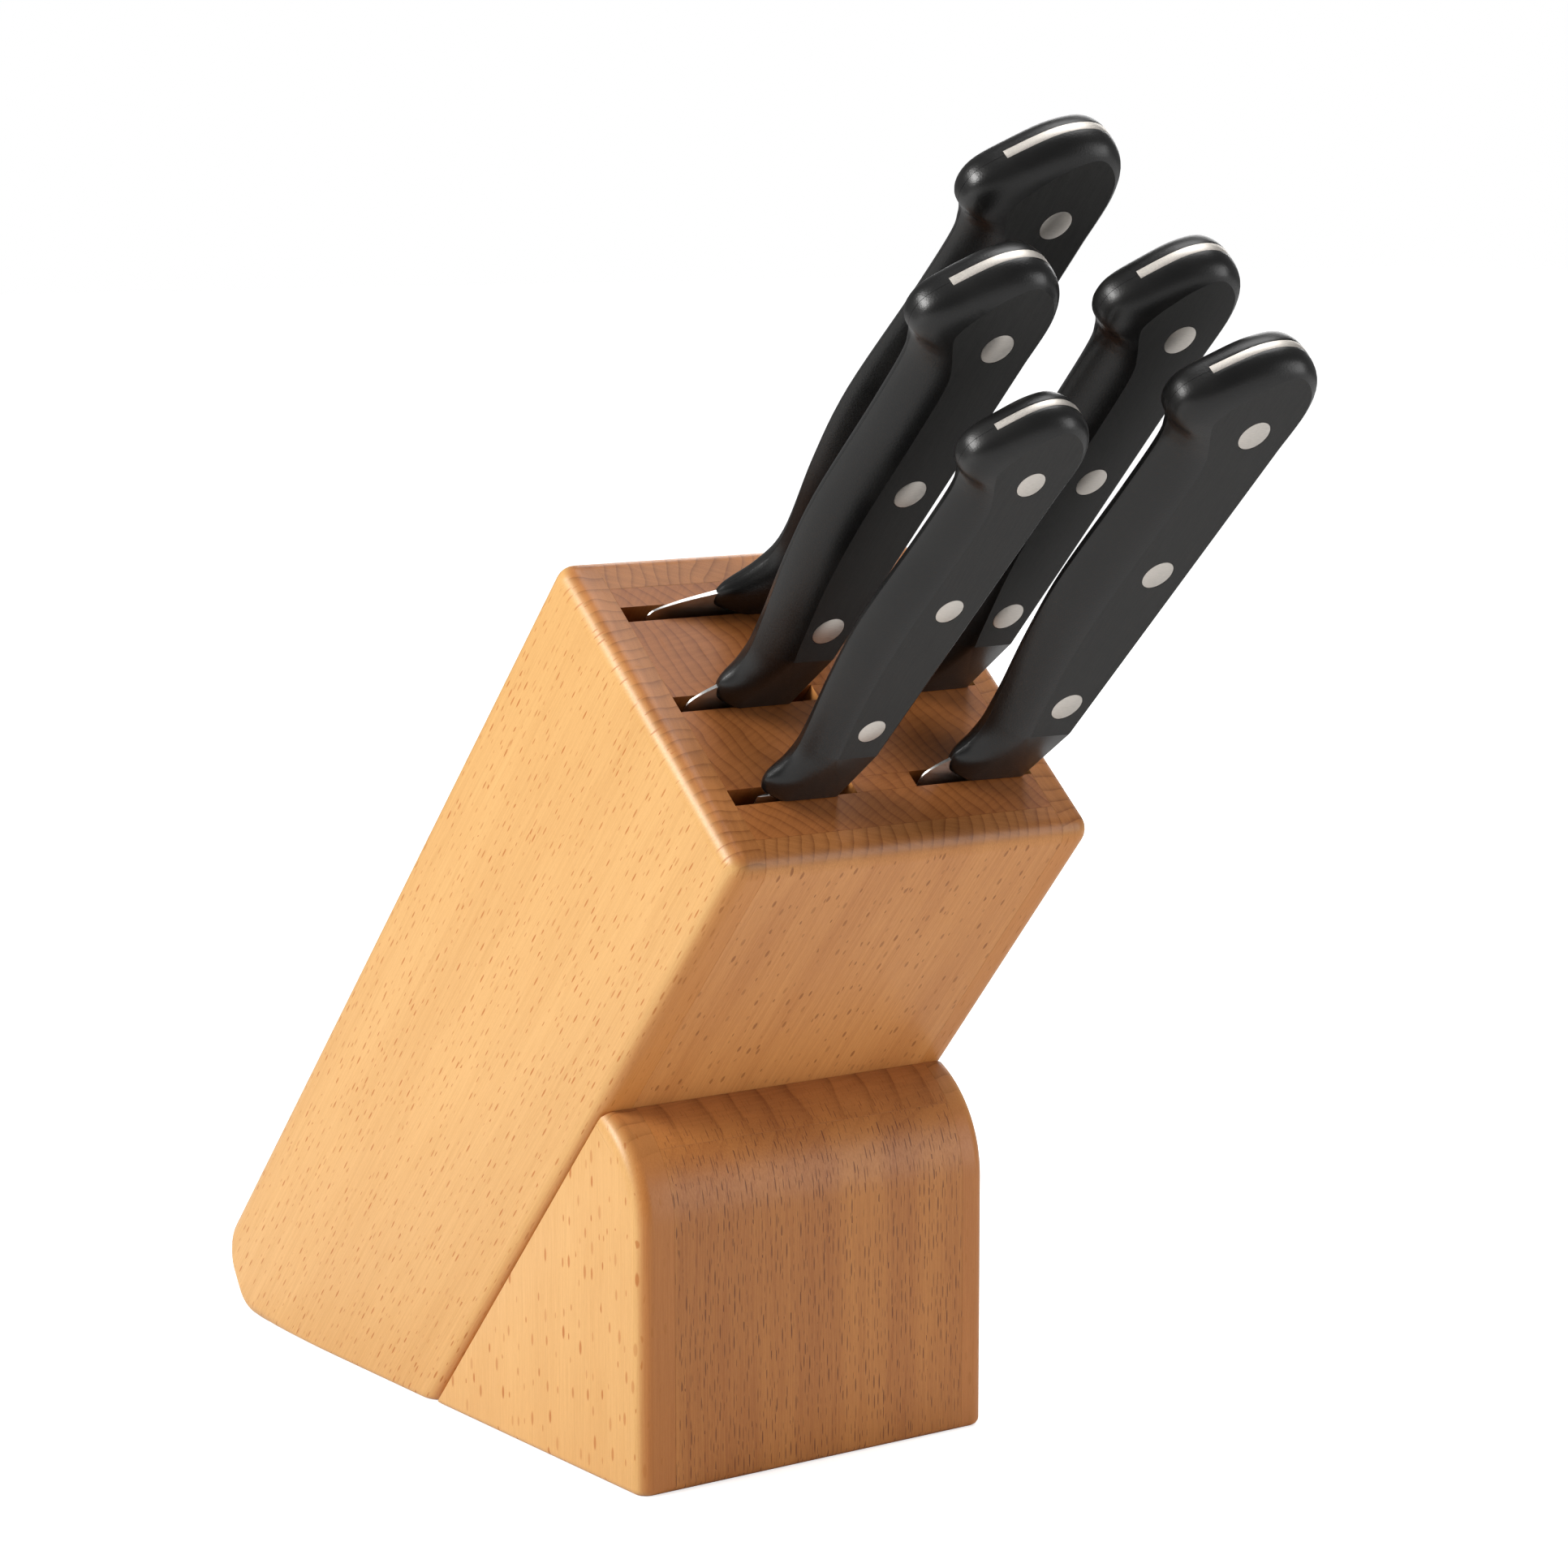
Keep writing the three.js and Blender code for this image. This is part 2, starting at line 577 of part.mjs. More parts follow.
// All of it is laid out from the foot's front face, and then moved back to centre the base.
const laidOut = new THREE.Group();
laidOut.position.y = -BASE_DEPTH / 2;
laidOut.add(leaning, makeFoot());

const knifeBlock = new THREE.Group();
knifeBlock.add(laidOut);

export default knifeBlock;
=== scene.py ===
"""A beech knife block on its round-fronted foot, with five riveted kitchen knives standing in its slots.

Metres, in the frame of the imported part: X to the right, Y to the back, Z up, the handles leaning to -Y.
Wood is worked in "leaning" coordinates: X across, Y square to the slots, Z up along the slots.
"""

import json
import math

import bmesh
import bpy
from mathutils import Matrix, Vector

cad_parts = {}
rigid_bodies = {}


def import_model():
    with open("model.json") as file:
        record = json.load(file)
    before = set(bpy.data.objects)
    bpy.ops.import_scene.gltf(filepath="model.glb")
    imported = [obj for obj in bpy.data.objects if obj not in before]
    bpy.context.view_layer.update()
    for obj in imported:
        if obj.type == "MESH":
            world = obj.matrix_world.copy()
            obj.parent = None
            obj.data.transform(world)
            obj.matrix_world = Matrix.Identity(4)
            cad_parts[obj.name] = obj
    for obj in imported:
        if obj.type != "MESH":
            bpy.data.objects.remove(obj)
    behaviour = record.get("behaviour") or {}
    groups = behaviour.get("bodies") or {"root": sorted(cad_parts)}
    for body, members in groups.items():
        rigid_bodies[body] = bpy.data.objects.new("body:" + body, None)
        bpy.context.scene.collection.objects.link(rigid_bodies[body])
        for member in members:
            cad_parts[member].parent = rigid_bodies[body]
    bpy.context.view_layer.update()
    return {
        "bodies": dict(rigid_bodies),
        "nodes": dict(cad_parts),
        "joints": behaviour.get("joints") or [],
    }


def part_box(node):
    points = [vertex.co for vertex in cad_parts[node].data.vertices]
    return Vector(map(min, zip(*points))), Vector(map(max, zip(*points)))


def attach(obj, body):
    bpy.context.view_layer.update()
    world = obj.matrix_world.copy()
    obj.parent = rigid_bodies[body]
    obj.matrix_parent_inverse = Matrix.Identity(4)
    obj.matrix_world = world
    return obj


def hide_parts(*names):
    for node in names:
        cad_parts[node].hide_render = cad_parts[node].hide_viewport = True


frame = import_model()
MM = 0.001

# ------------------------------------------------------------------ the frame's own sizes

SLOT_AXIS = Vector(frame["joints"][0]["axis"])
TILT = math.atan2(-SLOT_AXIS.y, SLOT_AXIS.z)
LEANING = Matrix.Rotation(TILT, 4, "X")


def box_round(points):
    """The lowest and highest corners of the box round some points."""
    low = Vector(min(p[i] for p in points) for i in range(3))
    high = Vector(max(p[i] for p in points) for i in range(3))
    return low, high


def leaning_box(*nodes):
    """The lowest and highest corners of CAD nodes, in leaning coordinates."""
    inverse = LEANING.inverted()
    return box_round([inverse @ v.co for node in nodes for v in frame["nodes"][node].data.vertices])


KNIFE_NAMES = [body for body in frame["bodies"] if body != "block"]
BLOCK_NODES = [n for n in frame["nodes"] if n.startswith("block_")]
FOOT_NODES = [n for n in frame["nodes"] if n.startswith("foot_")]
BLOCK_LOW, BLOCK_HIGH = leaning_box(*BLOCK_NODES)

# ------------------------------------------------------------------ sizes of the finish

LONG_ROUND = 4.2 * MM  # on the block's long edges and round its top face
HEEL_ROUND = 8 * MM  # at the top of the flat that blunts the block's lowest back corner
FACET_FOOT_ROUND = 5 * MM  # at the foot of that flat
FOOT_ROUND = 3.5 * MM  # round the rims of the foot's sides
FOOT_ARC = 26 * MM  # of the foot's rolled top
FOOT_ARC_TOP = 81 * MM  # height of the top of the foot's arc, were it not cut by the block
SAWN_ROUND = 1.6 * MM  # on the edges round the underside
JOINT_LINE = 0.05 * MM  # between two glued boards
PIN_BREAK = 0.14 * MM  # on the rims of a rivet
TANG_BREAK = 0.1 * MM  # on the rims of the tang

# The handle's side view in mm, as in the part: a master 118.2 mm long that each knife stretches. OUTLINE is
# where the two scales part and FLAT is the edge of the flat side, point for point.
MASTER_LENGTH = 118.2
OUTLINE = [
    (6.6, 96), (7.6, 106), (5.6, 113.8), (-0.4, 117.9), (-8.5, 117), (-17.7, 111.4), (-22.2, 107.6),
    (-23.3, 103.9), (-22.5, 101), (-20.9, 99.2), (-20.2, 96.8), (-19.6, 92), (-20.4, 78), (-22.2, 55),
    (-20.8, 38), (-18.1, 21), (-17.4, 13.5), (-18.6, 9), (-20.7, 5.2), (-19.8, 1.6), (-17, 0),
]
FLAT = [
    (5.1, 96), (5.8, 105.4), (3.9, 111.2), (-1.4, 114.9), (-7.2, 112.8), (-11.8, 108.9), (-14.6, 105.7),
    (-15.9, 103.2), (-15.3, 101), (-14.2, 98.8), (-13, 96.4), (-11.3, 91), (-11.7, 78), (-13.3, 55),
    (-13.1, 38), (-11.2, 21), (-10.6, 16.4), (-11.6, 10), (-13.2, 5.5), (-14.4, 1.8), (-14.2, 0),
]
FULLNESS = [  # of the roll between the two at each point: over 1 is squarer, under 1 is nearer to a chamfer
    2.4, 2.0, 1.5, 1.2, 1.2, 1.3, 1.4,
    1.4, 1.3, 1.0, 0.75, 0.68, 0.66, 0.66,
    0.66, 0.7, 0.8, 0.9, 1, 1, 1,
]
CREASE = 16.4  # how far along the handle its thin end begins
CREASE_POINT = 16  # of FLAT, on that crease
TANG_TURN = 5  # of OUTLINE: where the bare strip of the tang ends on the butt
SPINE_ROUND = 1.5  # from the spine to the flat side, next to the blade
THIN_END = 2.7  # half the handle's thickness next to the blade
BUTT_WIDTH_FROM = 0.87  # share of the handle's length from which it has the butt's width
RIVETS = [(-5.9, 25), (-4.8, 62.5), (-3.6, 100)]
GUARD = (-19.6, 3.4)  # where a deep blade's heel meets the handle
TANG_BACK = (98, 60, 22)  # how far along the handle the tang's hidden edge has its points
BELLY_REACH = 26.6  # from the spine to the belly at its fullest
TANG_INSET = 9  # from the belly to the tang's hidden edge
TANG_STEP = 3  # how far the tang is cut back where its strip ends on the butt
TANG_FOOT = 0.5  # how far up the handle the tang's hidden edge begins

# In mm: the blade's kind, length, height and thickness; then the handle's length and half thickness, its
# widths at the low and high ends and at the guard as shares of the master's, and the radius of its rivets.
KNIVES = {
    "chefs_knife": dict(
        kind="chef", length=200, height=46.8, thick=2,
        handle=128.5, half=6.2, low=1.34, high=1.08, guard=1.24, rivet=3.5,
    ),
    "slicing_knife": dict(
        kind="plain", length=180, height=24.6, thick=2,
        handle=119, half=6.2, low=0.94, high=0.94, guard=1, rivet=3.5,
    ),
    "bread_knife": dict(
        kind="bread", length=195, height=27.5, thick=2,
        handle=120, half=6.2, low=0.92, high=0.92, guard=1, rivet=3.5,
    ),
    "paring_knife": dict(
        kind="plain", length=90, height=18.5, thick=1.6,
        handle=105.3, half=5.3, low=0.93, high=0.77, guard=1.02, rivet=3,
    ),
    "utility_knife": dict(
        kind="plain", length=130, height=25.5, thick=1.8,
        handle=118.2, half=6.2, low=1, high=1, guard=1, rivet=3.5,
    ),
}
BLADE_CURVES = {  # the spine, then the edge: shares of the blade's height and length
    "chef": (
        [(0, 0), (0, 0.22), (0, 0.45), (0.01, 0.65), (0.06, 0.83), (0.19, 1)],
        [(1, 0), (1, 0.22), (0.93, 0.52), (0.78, 0.74), (0.5, 0.9), (0.19, 1)],
    ),
    "plain": (
        [(0, 0), (0, 0.3), (0, 0.6), (0.02, 0.8), (0.2, 1)],
        [(1, 0), (1, 0.15), (0.94, 0.42), (0.8, 0.68), (0.56, 0.88), (0.2, 1)],
    ),
    "bread": (
        [(0, 0), (0, 0.4), (0, 0.78), (0.05, 0.9), (0.42, 1)],
        [(1, 0), (0.97, 0.5), (0.94, 0.93), (0.9, 0.95), (0.72, 0.985), (0.42, 1)],
    ),
}
SCALLOP_PITCH = 9.9
SCALLOP_DEPTH = 0.9
SCALLOPS_FROM = 8  # down the blade
SCALLOPS_TO = 181

SHARP = math.radians(60)  # an edge whose faces turn by more than this is a corner
SAME_SPOT = 0.001 * MM

# ------------------------------------------------------------------ hand tools


def select_only(*pieces):
    bpy.ops.object.select_all(action="DESELECT")
    for piece in pieces:
        piece.select_set(True)
    bpy.context.view_layer.objects.active = pieces[0]


def named(name):
    """The piece that was just added, under its own name."""
    piece = bpy.context.active_object
    piece.name = name
    piece.data.name = name
    select_only(piece)
    return piece


def apply_place(piece):
    """Brings the piece's own place, turn and size into its mesh."""
    select_only(piece)
    bpy.ops.object.transform_apply(location=True, rotation=True, scale=True)


def copy_of(piece, name):
    select_only(piece)
    bpy.ops.object.duplicate()
    return named(name)


def discard(piece):
    select_only(piece)
    bpy.ops.object.delete()


def pick(piece, kind, test):
    """In edit mode, selects the verts or edges that pass the test and nothing else."""
    bpy.ops.mesh.select_mode(type=kind)
    bpy.ops.mesh.select_all(action="DESELECT")
    mesh = bmesh.from_edit_mesh(piece.data)
    mesh.normal_update()
    for item in mesh.verts if kind == "VERT" else mesh.edges:
        if test(item):
            item.select_set(True)
    bmesh.update_edit_mesh(piece.data)


def saw(piece, point, outward):
    """Cuts the piece at a plane, drops what lies outside it and closes the cut."""
    select_only(piece)
    bpy.ops.object.mode_set(mode="EDIT")
    bpy.ops.mesh.select_all(action="SELECT")
    bpy.ops.mesh.bisect(plane_co=point, plane_no=outward, use_fill=True, clear_outer=True)
    bpy.ops.object.mode_set(mode="OBJECT")


def round_edges(piece, test, radius, segments):
    """Rounds the edges that pass the test."""
    select_only(piece)
    bpy.ops.object.mode_set(mode="EDIT")
    pick(piece, "EDGE", test)
    bpy.ops.mesh.bevel(offset=radius, segments=segments, profile=0.5, affect="EDGES", clamp_overlap=False)
    bpy.ops.object.mode_set(mode="OBJECT")


def box_piece(name, low, high):
    """A cube primitive brought to two corners."""
    bpy.ops.object.select_all(action="DESELECT")
    bpy.ops.mesh.primitive_cube_add(size=1, location=(low + high) / 2)
    piece = named(name)
    piece.scale = high - low
    apply_place(piece)
    return piece


def smooth(piece, degrees):
    """Shades the piece smooth but for edges that turn by more than some degrees."""
    select_only(piece)
    bpy.ops.object.shade_smooth_by_angle(angle=math.radians(degrees))


def face_outwards(piece):
    select_only(piece)
    bpy.ops.object.mode_set(mode="EDIT")
    bpy.ops.mesh.select_all(action="SELECT")
    bpy.ops.mesh.normals_make_consistent(inside=False)
    bpy.ops.object.mode_set(mode="OBJECT")


def loft(name, rings):
    """A closed shell: each ring is extruded from the one before and moved to its own points."""
    bpy.ops.object.select_all(action="DESELECT")
    bpy.ops.mesh.primitive_circle_add(vertices=len(rings[0]), fill_type="NGON")
    piece = named(name)
    bpy.ops.object.mode_set(mode="EDIT")
    bpy.ops.mesh.select_all(action="SELECT")
    mesh = bmesh.from_edit_mesh(piece.data)
    place = mesh.verts.layers.int.new("place")
    for i, vert in enumerate(mesh.verts):
        vert[place] = i
        vert.co = rings[0][i]
    for ring in rings[1:]:
        bpy.ops.mesh.extrude_region_move()
        mesh = bmesh.from_edit_mesh(piece.data)
        place = mesh.verts.layers.int["place"]
        for vert in mesh.verts:
            if vert.select:
                vert.co = ring[vert[place]]
        bmesh.update_edit_mesh(piece.data)
    bpy.ops.object.mode_set(mode="OBJECT")
    piece.data.attributes.remove(piece.data.attributes["place"])
    face_outwards(piece)
    return piece


def smooth_run(points, steps):
    """A Catmull-Rom curve through the points, with the same number of steps between each two."""
    ends = [points[0], *points, points[-1]]
    run = []
    for i in range(len(points) - 1):
        a, b, c, d = (Vector(p) for p in ends[i : i + 4])
        for k in range(steps):
            t = k / steps
            square = 2 * a - 5 * b + 4 * c - d
            cube = 3 * b - a - 3 * c + d
            run.append(0.5 * (2 * b + (c - a) * t + square * t**2 + cube * t**3))
    return [*run, Vector(points[-1])]


# ------------------------------------------------------------------ node helpers


def node(tree, kind, links=(), **settings):
    """A shader node, its settings, and its inputs by name or number, each a value or another socket."""
    made = tree.nodes.new("ShaderNode" + kind)
    for key, value in settings.items():
        setattr(made, key, value)
    for key, value in dict(links).items():
        socket = made.inputs[key]
        if isinstance(value, bpy.types.NodeSocket):
            tree.links.new(value, socket)
        else:
            socket.default_value = value
    return made


def math_node(tree, operation, *values, clamp=False):
    made = node(tree, "Math", dict(enumerate(values)), operation=operation, use_clamp=clamp)
    return made.outputs[0]


def vector_node(tree, operation, *values):
    made = node(tree, "VectorMath", dict(enumerate(values)), operation=operation)
    return made.outputs["Value" if operation in ("DOT_PRODUCT", "LENGTH") else "Vector"]


def ramp(tree, value, low, high, to_low=0.0, to_high=1.0):
    """A smooth rise or fall as the value goes from low to high. A noise lies mostly between 0.3 and 0.7."""
    links = {"Value": value, "From Min": low, "From Max": high, "To Min": to_low, "To Max": to_high}
    return node(tree, "MapRange", links, interpolation_type="SMOOTHSTEP").outputs["Result"]


def mix_colour(tree, share, a, b, blend="MIX"):
    """Share, a and b are each a value or another socket."""
    made = node(tree, "Mix", data_type="RGBA", blend_type=blend)
    for index, value in ((0, share), (6, a), (7, b)):
        if isinstance(value, bpy.types.NodeSocket):
            tree.links.new(value, made.inputs[index])
        else:
            made.inputs[index].default_value = value
    return made.outputs[2]


def noise(tree, vector, scale, detail=2.0, roughness=0.5):
    links = {"Vector": vector, "Scale": scale, "Detail": detail, "Roughness": roughness}
    return node(tree, "TexNoise", links).outputs["Fac"]


def new_group(name, inputs, outputs):
    """A shader node group with named sockets; returns its tree, its inputs and its output node."""
    tree = bpy.data.node_groups.new(name, "ShaderNodeTree")
    for title, kind, value in inputs:
        socket = tree.interface.new_socket(title, in_out="INPUT", socket_type="NodeSocket" + kind)
        if value is not None:
            socket.default_value = value
    for title, kind in outputs:
        tree.interface.new_socket(title, in_out="OUTPUT", socket_type="NodeSocket" + kind)
    entry = tree.nodes.new("NodeGroupInput")
    result = tree.nodes.new("NodeGroupOutput")
    return tree, entry.outputs, result


def new_material(name):
    material = bpy.data.materials.new(name)
    material.use_nodes = True
    tree = material.node_tree
    return material, tree, tree.nodes["Principled BSDF"]


def set_values(shader, **values):
    for title, value in values.items():
        shader.inputs[title.replace("_", " ")].default_value = value


def add_bump(tree, shader, height, strength, depth):
    """Depth is in metres."""
    bump = node(tree, "Bump", {"Height": height, "Strength": strength, "Distance": depth})
    tree.links.new(bump.outputs[0], shader.inputs["Normal"])


# ------------------------------------------------------------------ beech

# How fine each pattern is in the board, in turns per mm: across, square to the board, and along the grain.
RING_WANDER = (0.05, 0.05, 0.012)
STREAKS = (3.2, 3.2, 0.06)
SLOW_TONE = (0.07, 0.07, 0.008)
PORES = (7.0, 7.0, 0.9)
SPECKLE = 3.5
WANDER_REACH = 9.0  # how far the growth rings stray, in mm
RAY_TURNS = 150.0  # how closely the rays stand round the pith
RAYS = (1.6, 0.12, 0.0)  # round the pith, and out from it in mm
END_SHADE = (0.50, 0.42, 0.36, 1.0)  # of the end grain's dark rings to its light ones
UNTINTED = (1.0, 1.0, 1.0, 1.0)
TO_MM = (1000, 1000, 1000)


def make_fleck_group():
    """Short flecks along the grain.

    Grain is in mm with Z along it, and Across is the surface's own cross direction.
    """
    tree, given, result = new_group(
        "flecks",
        [
            ("Grain", "Vector", None),
            ("Across", "Vector", None),
            ("Spacing", "Float", 3.0),
            ("Stretch", "Float", 3.0),
            ("Half Width", "Float", 0.25),
            ("Half Length", "Float", 1.5),
            ("Share", "Float", 0.7),
        ],
        [("Mask", "Float")],
    )
    row = math_node(tree, "MULTIPLY", given["Spacing"], given["Stretch"])
    cell = node(tree, "CombineXYZ", {0: given["Spacing"], 1: given["Spacing"], 2: row}).outputs[0]
    scaled = vector_node(tree, "DIVIDE", given["Grain"], cell)
    links = {"Vector": scaled, "Scale": 1.0, "Randomness": 0.85}
    cells = node(tree, "TexVoronoi", links, voronoi_dimensions="3D")
    gap = vector_node(tree, "SUBTRACT", scaled, cells.outputs["Position"])
    offset = vector_node(tree, "MULTIPLY", gap, cell)
    across = vector_node(tree, "DOT_PRODUCT", offset, given["Across"])
    along = node(tree, "SeparateXYZ", {0: offset}).outputs[2]
    chance = node(tree, "SeparateColor", {0: cells.outputs["Color"]})
    size = ramp(tree, chance.outputs[0], 0.0, 1.0, 0.55, 1.25)
    width = math_node(tree, "MULTIPLY", given["Half Width"], size)
    length = math_node(tree, "MULTIPLY", given["Half Length"], size)
    a = math_node(tree, "POWER", math_node(tree, "DIVIDE", across, width), 2.0)
    b = math_node(tree, "POWER", math_node(tree, "DIVIDE", along, length), 2.0)
    inside = ramp(tree, math_node(tree, "ADD", a, b), 1.35, 0.35)
    kept = math_node(tree, "LESS_THAN", chance.outputs[1], given["Share"])
    depth = ramp(tree, chance.outputs[2], 0.0, 1.0, 0.45, 1.0)
    mask = math_node(tree, "MULTIPLY", math_node(tree, "MULTIPLY", inside, kept), depth)
    tree.links.new(mask, result.inputs["Mask"])
    return tree


def make_beech_group():
    """Beech as a solid pattern: streaks and flecks along the grain, rings and rays on the end grain, a tint
    on the faces that look forward, and painted shade on the walls of the slots.
    """
    tree, given, result = new_group(
        "beech",
        [
            ("Grain", "Vector", None),
            ("Facing", "Vector", None),
            ("Pith", "Vector", None),
            ("Ring", "Float", 3.0),
            ("Light", "Color", None),
            ("Dark", "Color", None),
            ("Fleck", "Color", None),
            ("End", "Color", None),
            ("Edge", "Color", UNTINTED),
            ("Both Ways", "Float", 0.0),
            ("Half Width", "Float", 0.25),
            ("Half Length", "Float", 1.5),
            ("Spacing", "Float", 3.0),
            ("Share", "Float", 0.7),
            ("Fleck Strength", "Float", 0.7),
            ("Ring Strength", "Float", 0.25),
            ("Band Strength", "Float", 0.3),
        ],
        [("Colour", "Color"), ("Roughness", "Float"), ("Height", "Float")],
    )
    grain = given["Grain"]
    up = (0.0, 0.0, 1.0)
    turned = vector_node(tree, "CROSS_PRODUCT", given["Facing"], up)
    across = vector_node(tree, "NORMALIZE", turned)
    steep = math_node(tree, "ABSOLUTE", vector_node(tree, "DOT_PRODUCT", given["Facing"], up))
    end_share = ramp(tree, steep, 0.45, 0.95)

    # Growth rings round the pith, bent a little along the board.
    wander = noise(tree, vector_node(tree, "MULTIPLY", grain, RING_WANDER), 1.0, 2.0)
    from_pith = vector_node(tree, "SUBTRACT", grain, given["Pith"])
    flat_place = vector_node(tree, "MULTIPLY", from_pith, (1.0, 1.0, 0.0))
    stray = math_node(tree, "MULTIPLY", wander, WANDER_REACH)
    radius = math_node(tree, "ADD", vector_node(tree, "LENGTH", flat_place), stray)
    turn = math_node(tree, "FRACT", math_node(tree, "DIVIDE", radius, given["Ring"]))
    late = math_node(tree, "POWER", turn, 5.0)
    early = ramp(tree, turn, 0.0, 0.08, 1.0, 0.0)
    ring_line = math_node(tree, "MAXIMUM", math_node(tree, "MULTIPLY", late, 0.85), early)

    # Fine streaks, and a slow change of tone from side to side.
    streaks = noise(tree, vector_node(tree, "MULTIPLY", grain, STREAKS), 1.0, 3.0, 0.6)
    slow = noise(tree, vector_node(tree, "MULTIPLY", grain, SLOW_TONE), 1.0, 2.0)
    pores = noise(tree, vector_node(tree, "MULTIPLY", grain, PORES), 1.0, 1.0)
    swing = ramp(tree, slow, 0.3, 0.7, -1.0, 1.0)
    band = math_node(tree, "MULTIPLY_ADD", swing, given["Band Strength"], 0.4)
    tone = math_node(tree, "ADD", ramp(tree, streaks, 0.3, 0.7, -0.18, 0.18), band)
    tone = math_node(tree, "ADD", tone, math_node(tree, "MULTIPLY", ring_line, given["Ring Strength"]))
    tone = math_node(tree, "ADD", tone, ramp(tree, pores, 0.35, 0.75, -0.05, 0.14), clamp=True)
    side = mix_colour(tree, tone, given["Light"], given["Dark"])

    # The faces that look forward, and on some boards those that look back, are tinted. On the core boards
    # these faces are the walls of the slots, and their darker tint there is painted shade.
    forward = vector_node(tree, "DOT_PRODUCT", given["Facing"], (0.0, -1.0, 0.0))
    backward_slot_walls = math_node(tree, "MULTIPLY", math_node(tree, "MULTIPLY", forward, -1.0), given["Both Ways"])
    forward_and_slot_walls = math_node(tree, "MAXIMUM", forward, backward_slot_walls)
    forward_tint_and_slot_shade = mix_colour(tree, ramp(tree, forward_and_slot_walls, 0.35, 0.95), UNTINTED, given["Edge"])
    side = mix_colour(tree, 1.0, side, forward_tint_and_slot_shade, "MULTIPLY")

    flecks = node(tree, "Group", node_tree=FLECKS)
    tree.links.new(grain, flecks.inputs["Grain"])
    tree.links.new(across, flecks.inputs["Across"])
    for title in ("Spacing", "Half Width", "Half Length", "Share"):
        tree.links.new(given[title], flecks.inputs[title])
    fleck = math_node(tree, "MULTIPLY", flecks.outputs["Mask"], given["Fleck Strength"])
    side = mix_colour(tree, fleck, side, given["Fleck"])

    # End grain: darker, with ring lines, and pale rays that cross them.
    angle = node(tree, "SeparateXYZ", {0: flat_place})
    spoke = math_node(tree, "ARCTAN2", angle.outputs[1], angle.outputs[0])
    round_pith = math_node(tree, "MULTIPLY", spoke, RAY_TURNS)
    ray_place = node(tree, "CombineXYZ", {0: round_pith, 1: radius, 2: 0.0}).outputs[0]
    rays = noise(tree, vector_node(tree, "MULTIPLY", ray_place, RAYS), 1.0, 2.0)
    speckle = noise(tree, grain, SPECKLE, 2.0)
    end_rings = math_node(tree, "MULTIPLY", ring_line, 0.7)
    end_tone = math_node(tree, "ADD", end_rings, ramp(tree, slow, 0.3, 0.7, 0.0, 0.3))
    end_tone = math_node(tree, "ADD", end_tone, ramp(tree, rays, 0.35, 0.7, 0.12, -0.12))
    end_tone = math_node(tree, "ADD", end_tone, ramp(tree, speckle, 0.3, 0.7, -0.06, 0.1), clamp=True)
    shade = mix_colour(tree, 1.0, given["End"], END_SHADE, "MULTIPLY")
    end = mix_colour(tree, end_tone, given["End"], shade)

    colour = mix_colour(tree, end_share, side, end)
    tree.links.new(colour, result.inputs["Colour"])

    # The flecks are duller than the lacquer round them, and sunk.
    duller = math_node(tree, "MULTIPLY", fleck, 0.12)
    rough = math_node(tree, "ADD", ramp(tree, streaks, 0.3, 0.7, 0.36, 0.44), duller)
    tree.links.new(rough, result.inputs["Roughness"])
    sunk = math_node(tree, "MULTIPLY", fleck, 0.5)
    height = math_node(tree, "SUBTRACT", math_node(tree, "MULTIPLY", pores, 0.35), sunk)
    height = math_node(tree, "SUBTRACT", height, math_node(tree, "MULTIPLY", ring_line, 0.15))
    tree.links.new(height, result.inputs["Height"])
    return tree


def make_beech(name, tilt, shift, **looks):
    """One board's beech: its grain leans by tilt, and the pattern is shifted so that no two boards match."""
    material, tree, shader = new_material(name)
    place = node(tree, "TexCoord").outputs["Object"]
    facing = node(tree, "NewGeometry").outputs["Normal"]
    upright = (-tilt, 0, 0)
    to_grain = {"Vector": place, "Location": shift, "Rotation": upright, "Scale": TO_MM}
    grain = node(tree, "Mapping", to_grain).outputs[0]
    to_board = {"Vector": facing, "Rotation": upright}
    local = node(tree, "Mapping", to_board, vector_type="VECTOR").outputs[0]
    pattern = node(tree, "Group", node_tree=BEECH)
    tree.links.new(grain, pattern.inputs["Grain"])
    tree.links.new(local, pattern.inputs["Facing"])
    for title, value in looks.items():
        pattern.inputs[title.replace("_", " ")].default_value = value
    tree.links.new(pattern.outputs["Colour"], shader.inputs["Base Color"])
    tree.links.new(pattern.outputs["Roughness"], shader.inputs["Roughness"])
    add_bump(tree, shader, pattern.outputs["Height"], 0.35, 0.08 * MM)
    set_values(shader, Specular_IOR_Level=0.35, Coat_Weight=0.12, Coat_Roughness=0.28)
    return material


FLECKS = make_fleck_group()
BEECH = make_beech_group()

# ------------------------------------------------------------------ black handles and steel

# How fine each pattern is, in turns per metre.
MOULDED_SKIN = 2600.0
MOULDED_WEAR = 60.0
GROUND_LINES = (5200.0, 5200.0, 160.0)
GROUND_SPECKLE = 3000.0
LINE_SHADE = 0.86  # of a grinding line in steel to the metal beside it


def make_moulded_black():
    """The rolled sides of the handles: black, with the fine skin of a moulding."""
    material, tree, shader = new_material("moulded_black")
    place = node(tree, "TexCoord").outputs["Object"]
    skin = noise(tree, place, MOULDED_SKIN, 2.0)
    worn = noise(tree, place, MOULDED_WEAR, 3.0)
    black, rubbed = (0.004, 0.004, 0.004, 1), (0.007, 0.0068, 0.0065, 1)
    tone = mix_colour(tree, ramp(tree, worn, 0.35, 0.7), black, rubbed)
    tree.links.new(tone, shader.inputs["Base Color"])
    tree.links.new(ramp(tree, worn, 0.3, 0.75, 0.3, 0.4), shader.inputs["Roughness"])
    add_bump(tree, shader, skin, 0.5, 0.06 * MM)
    return material


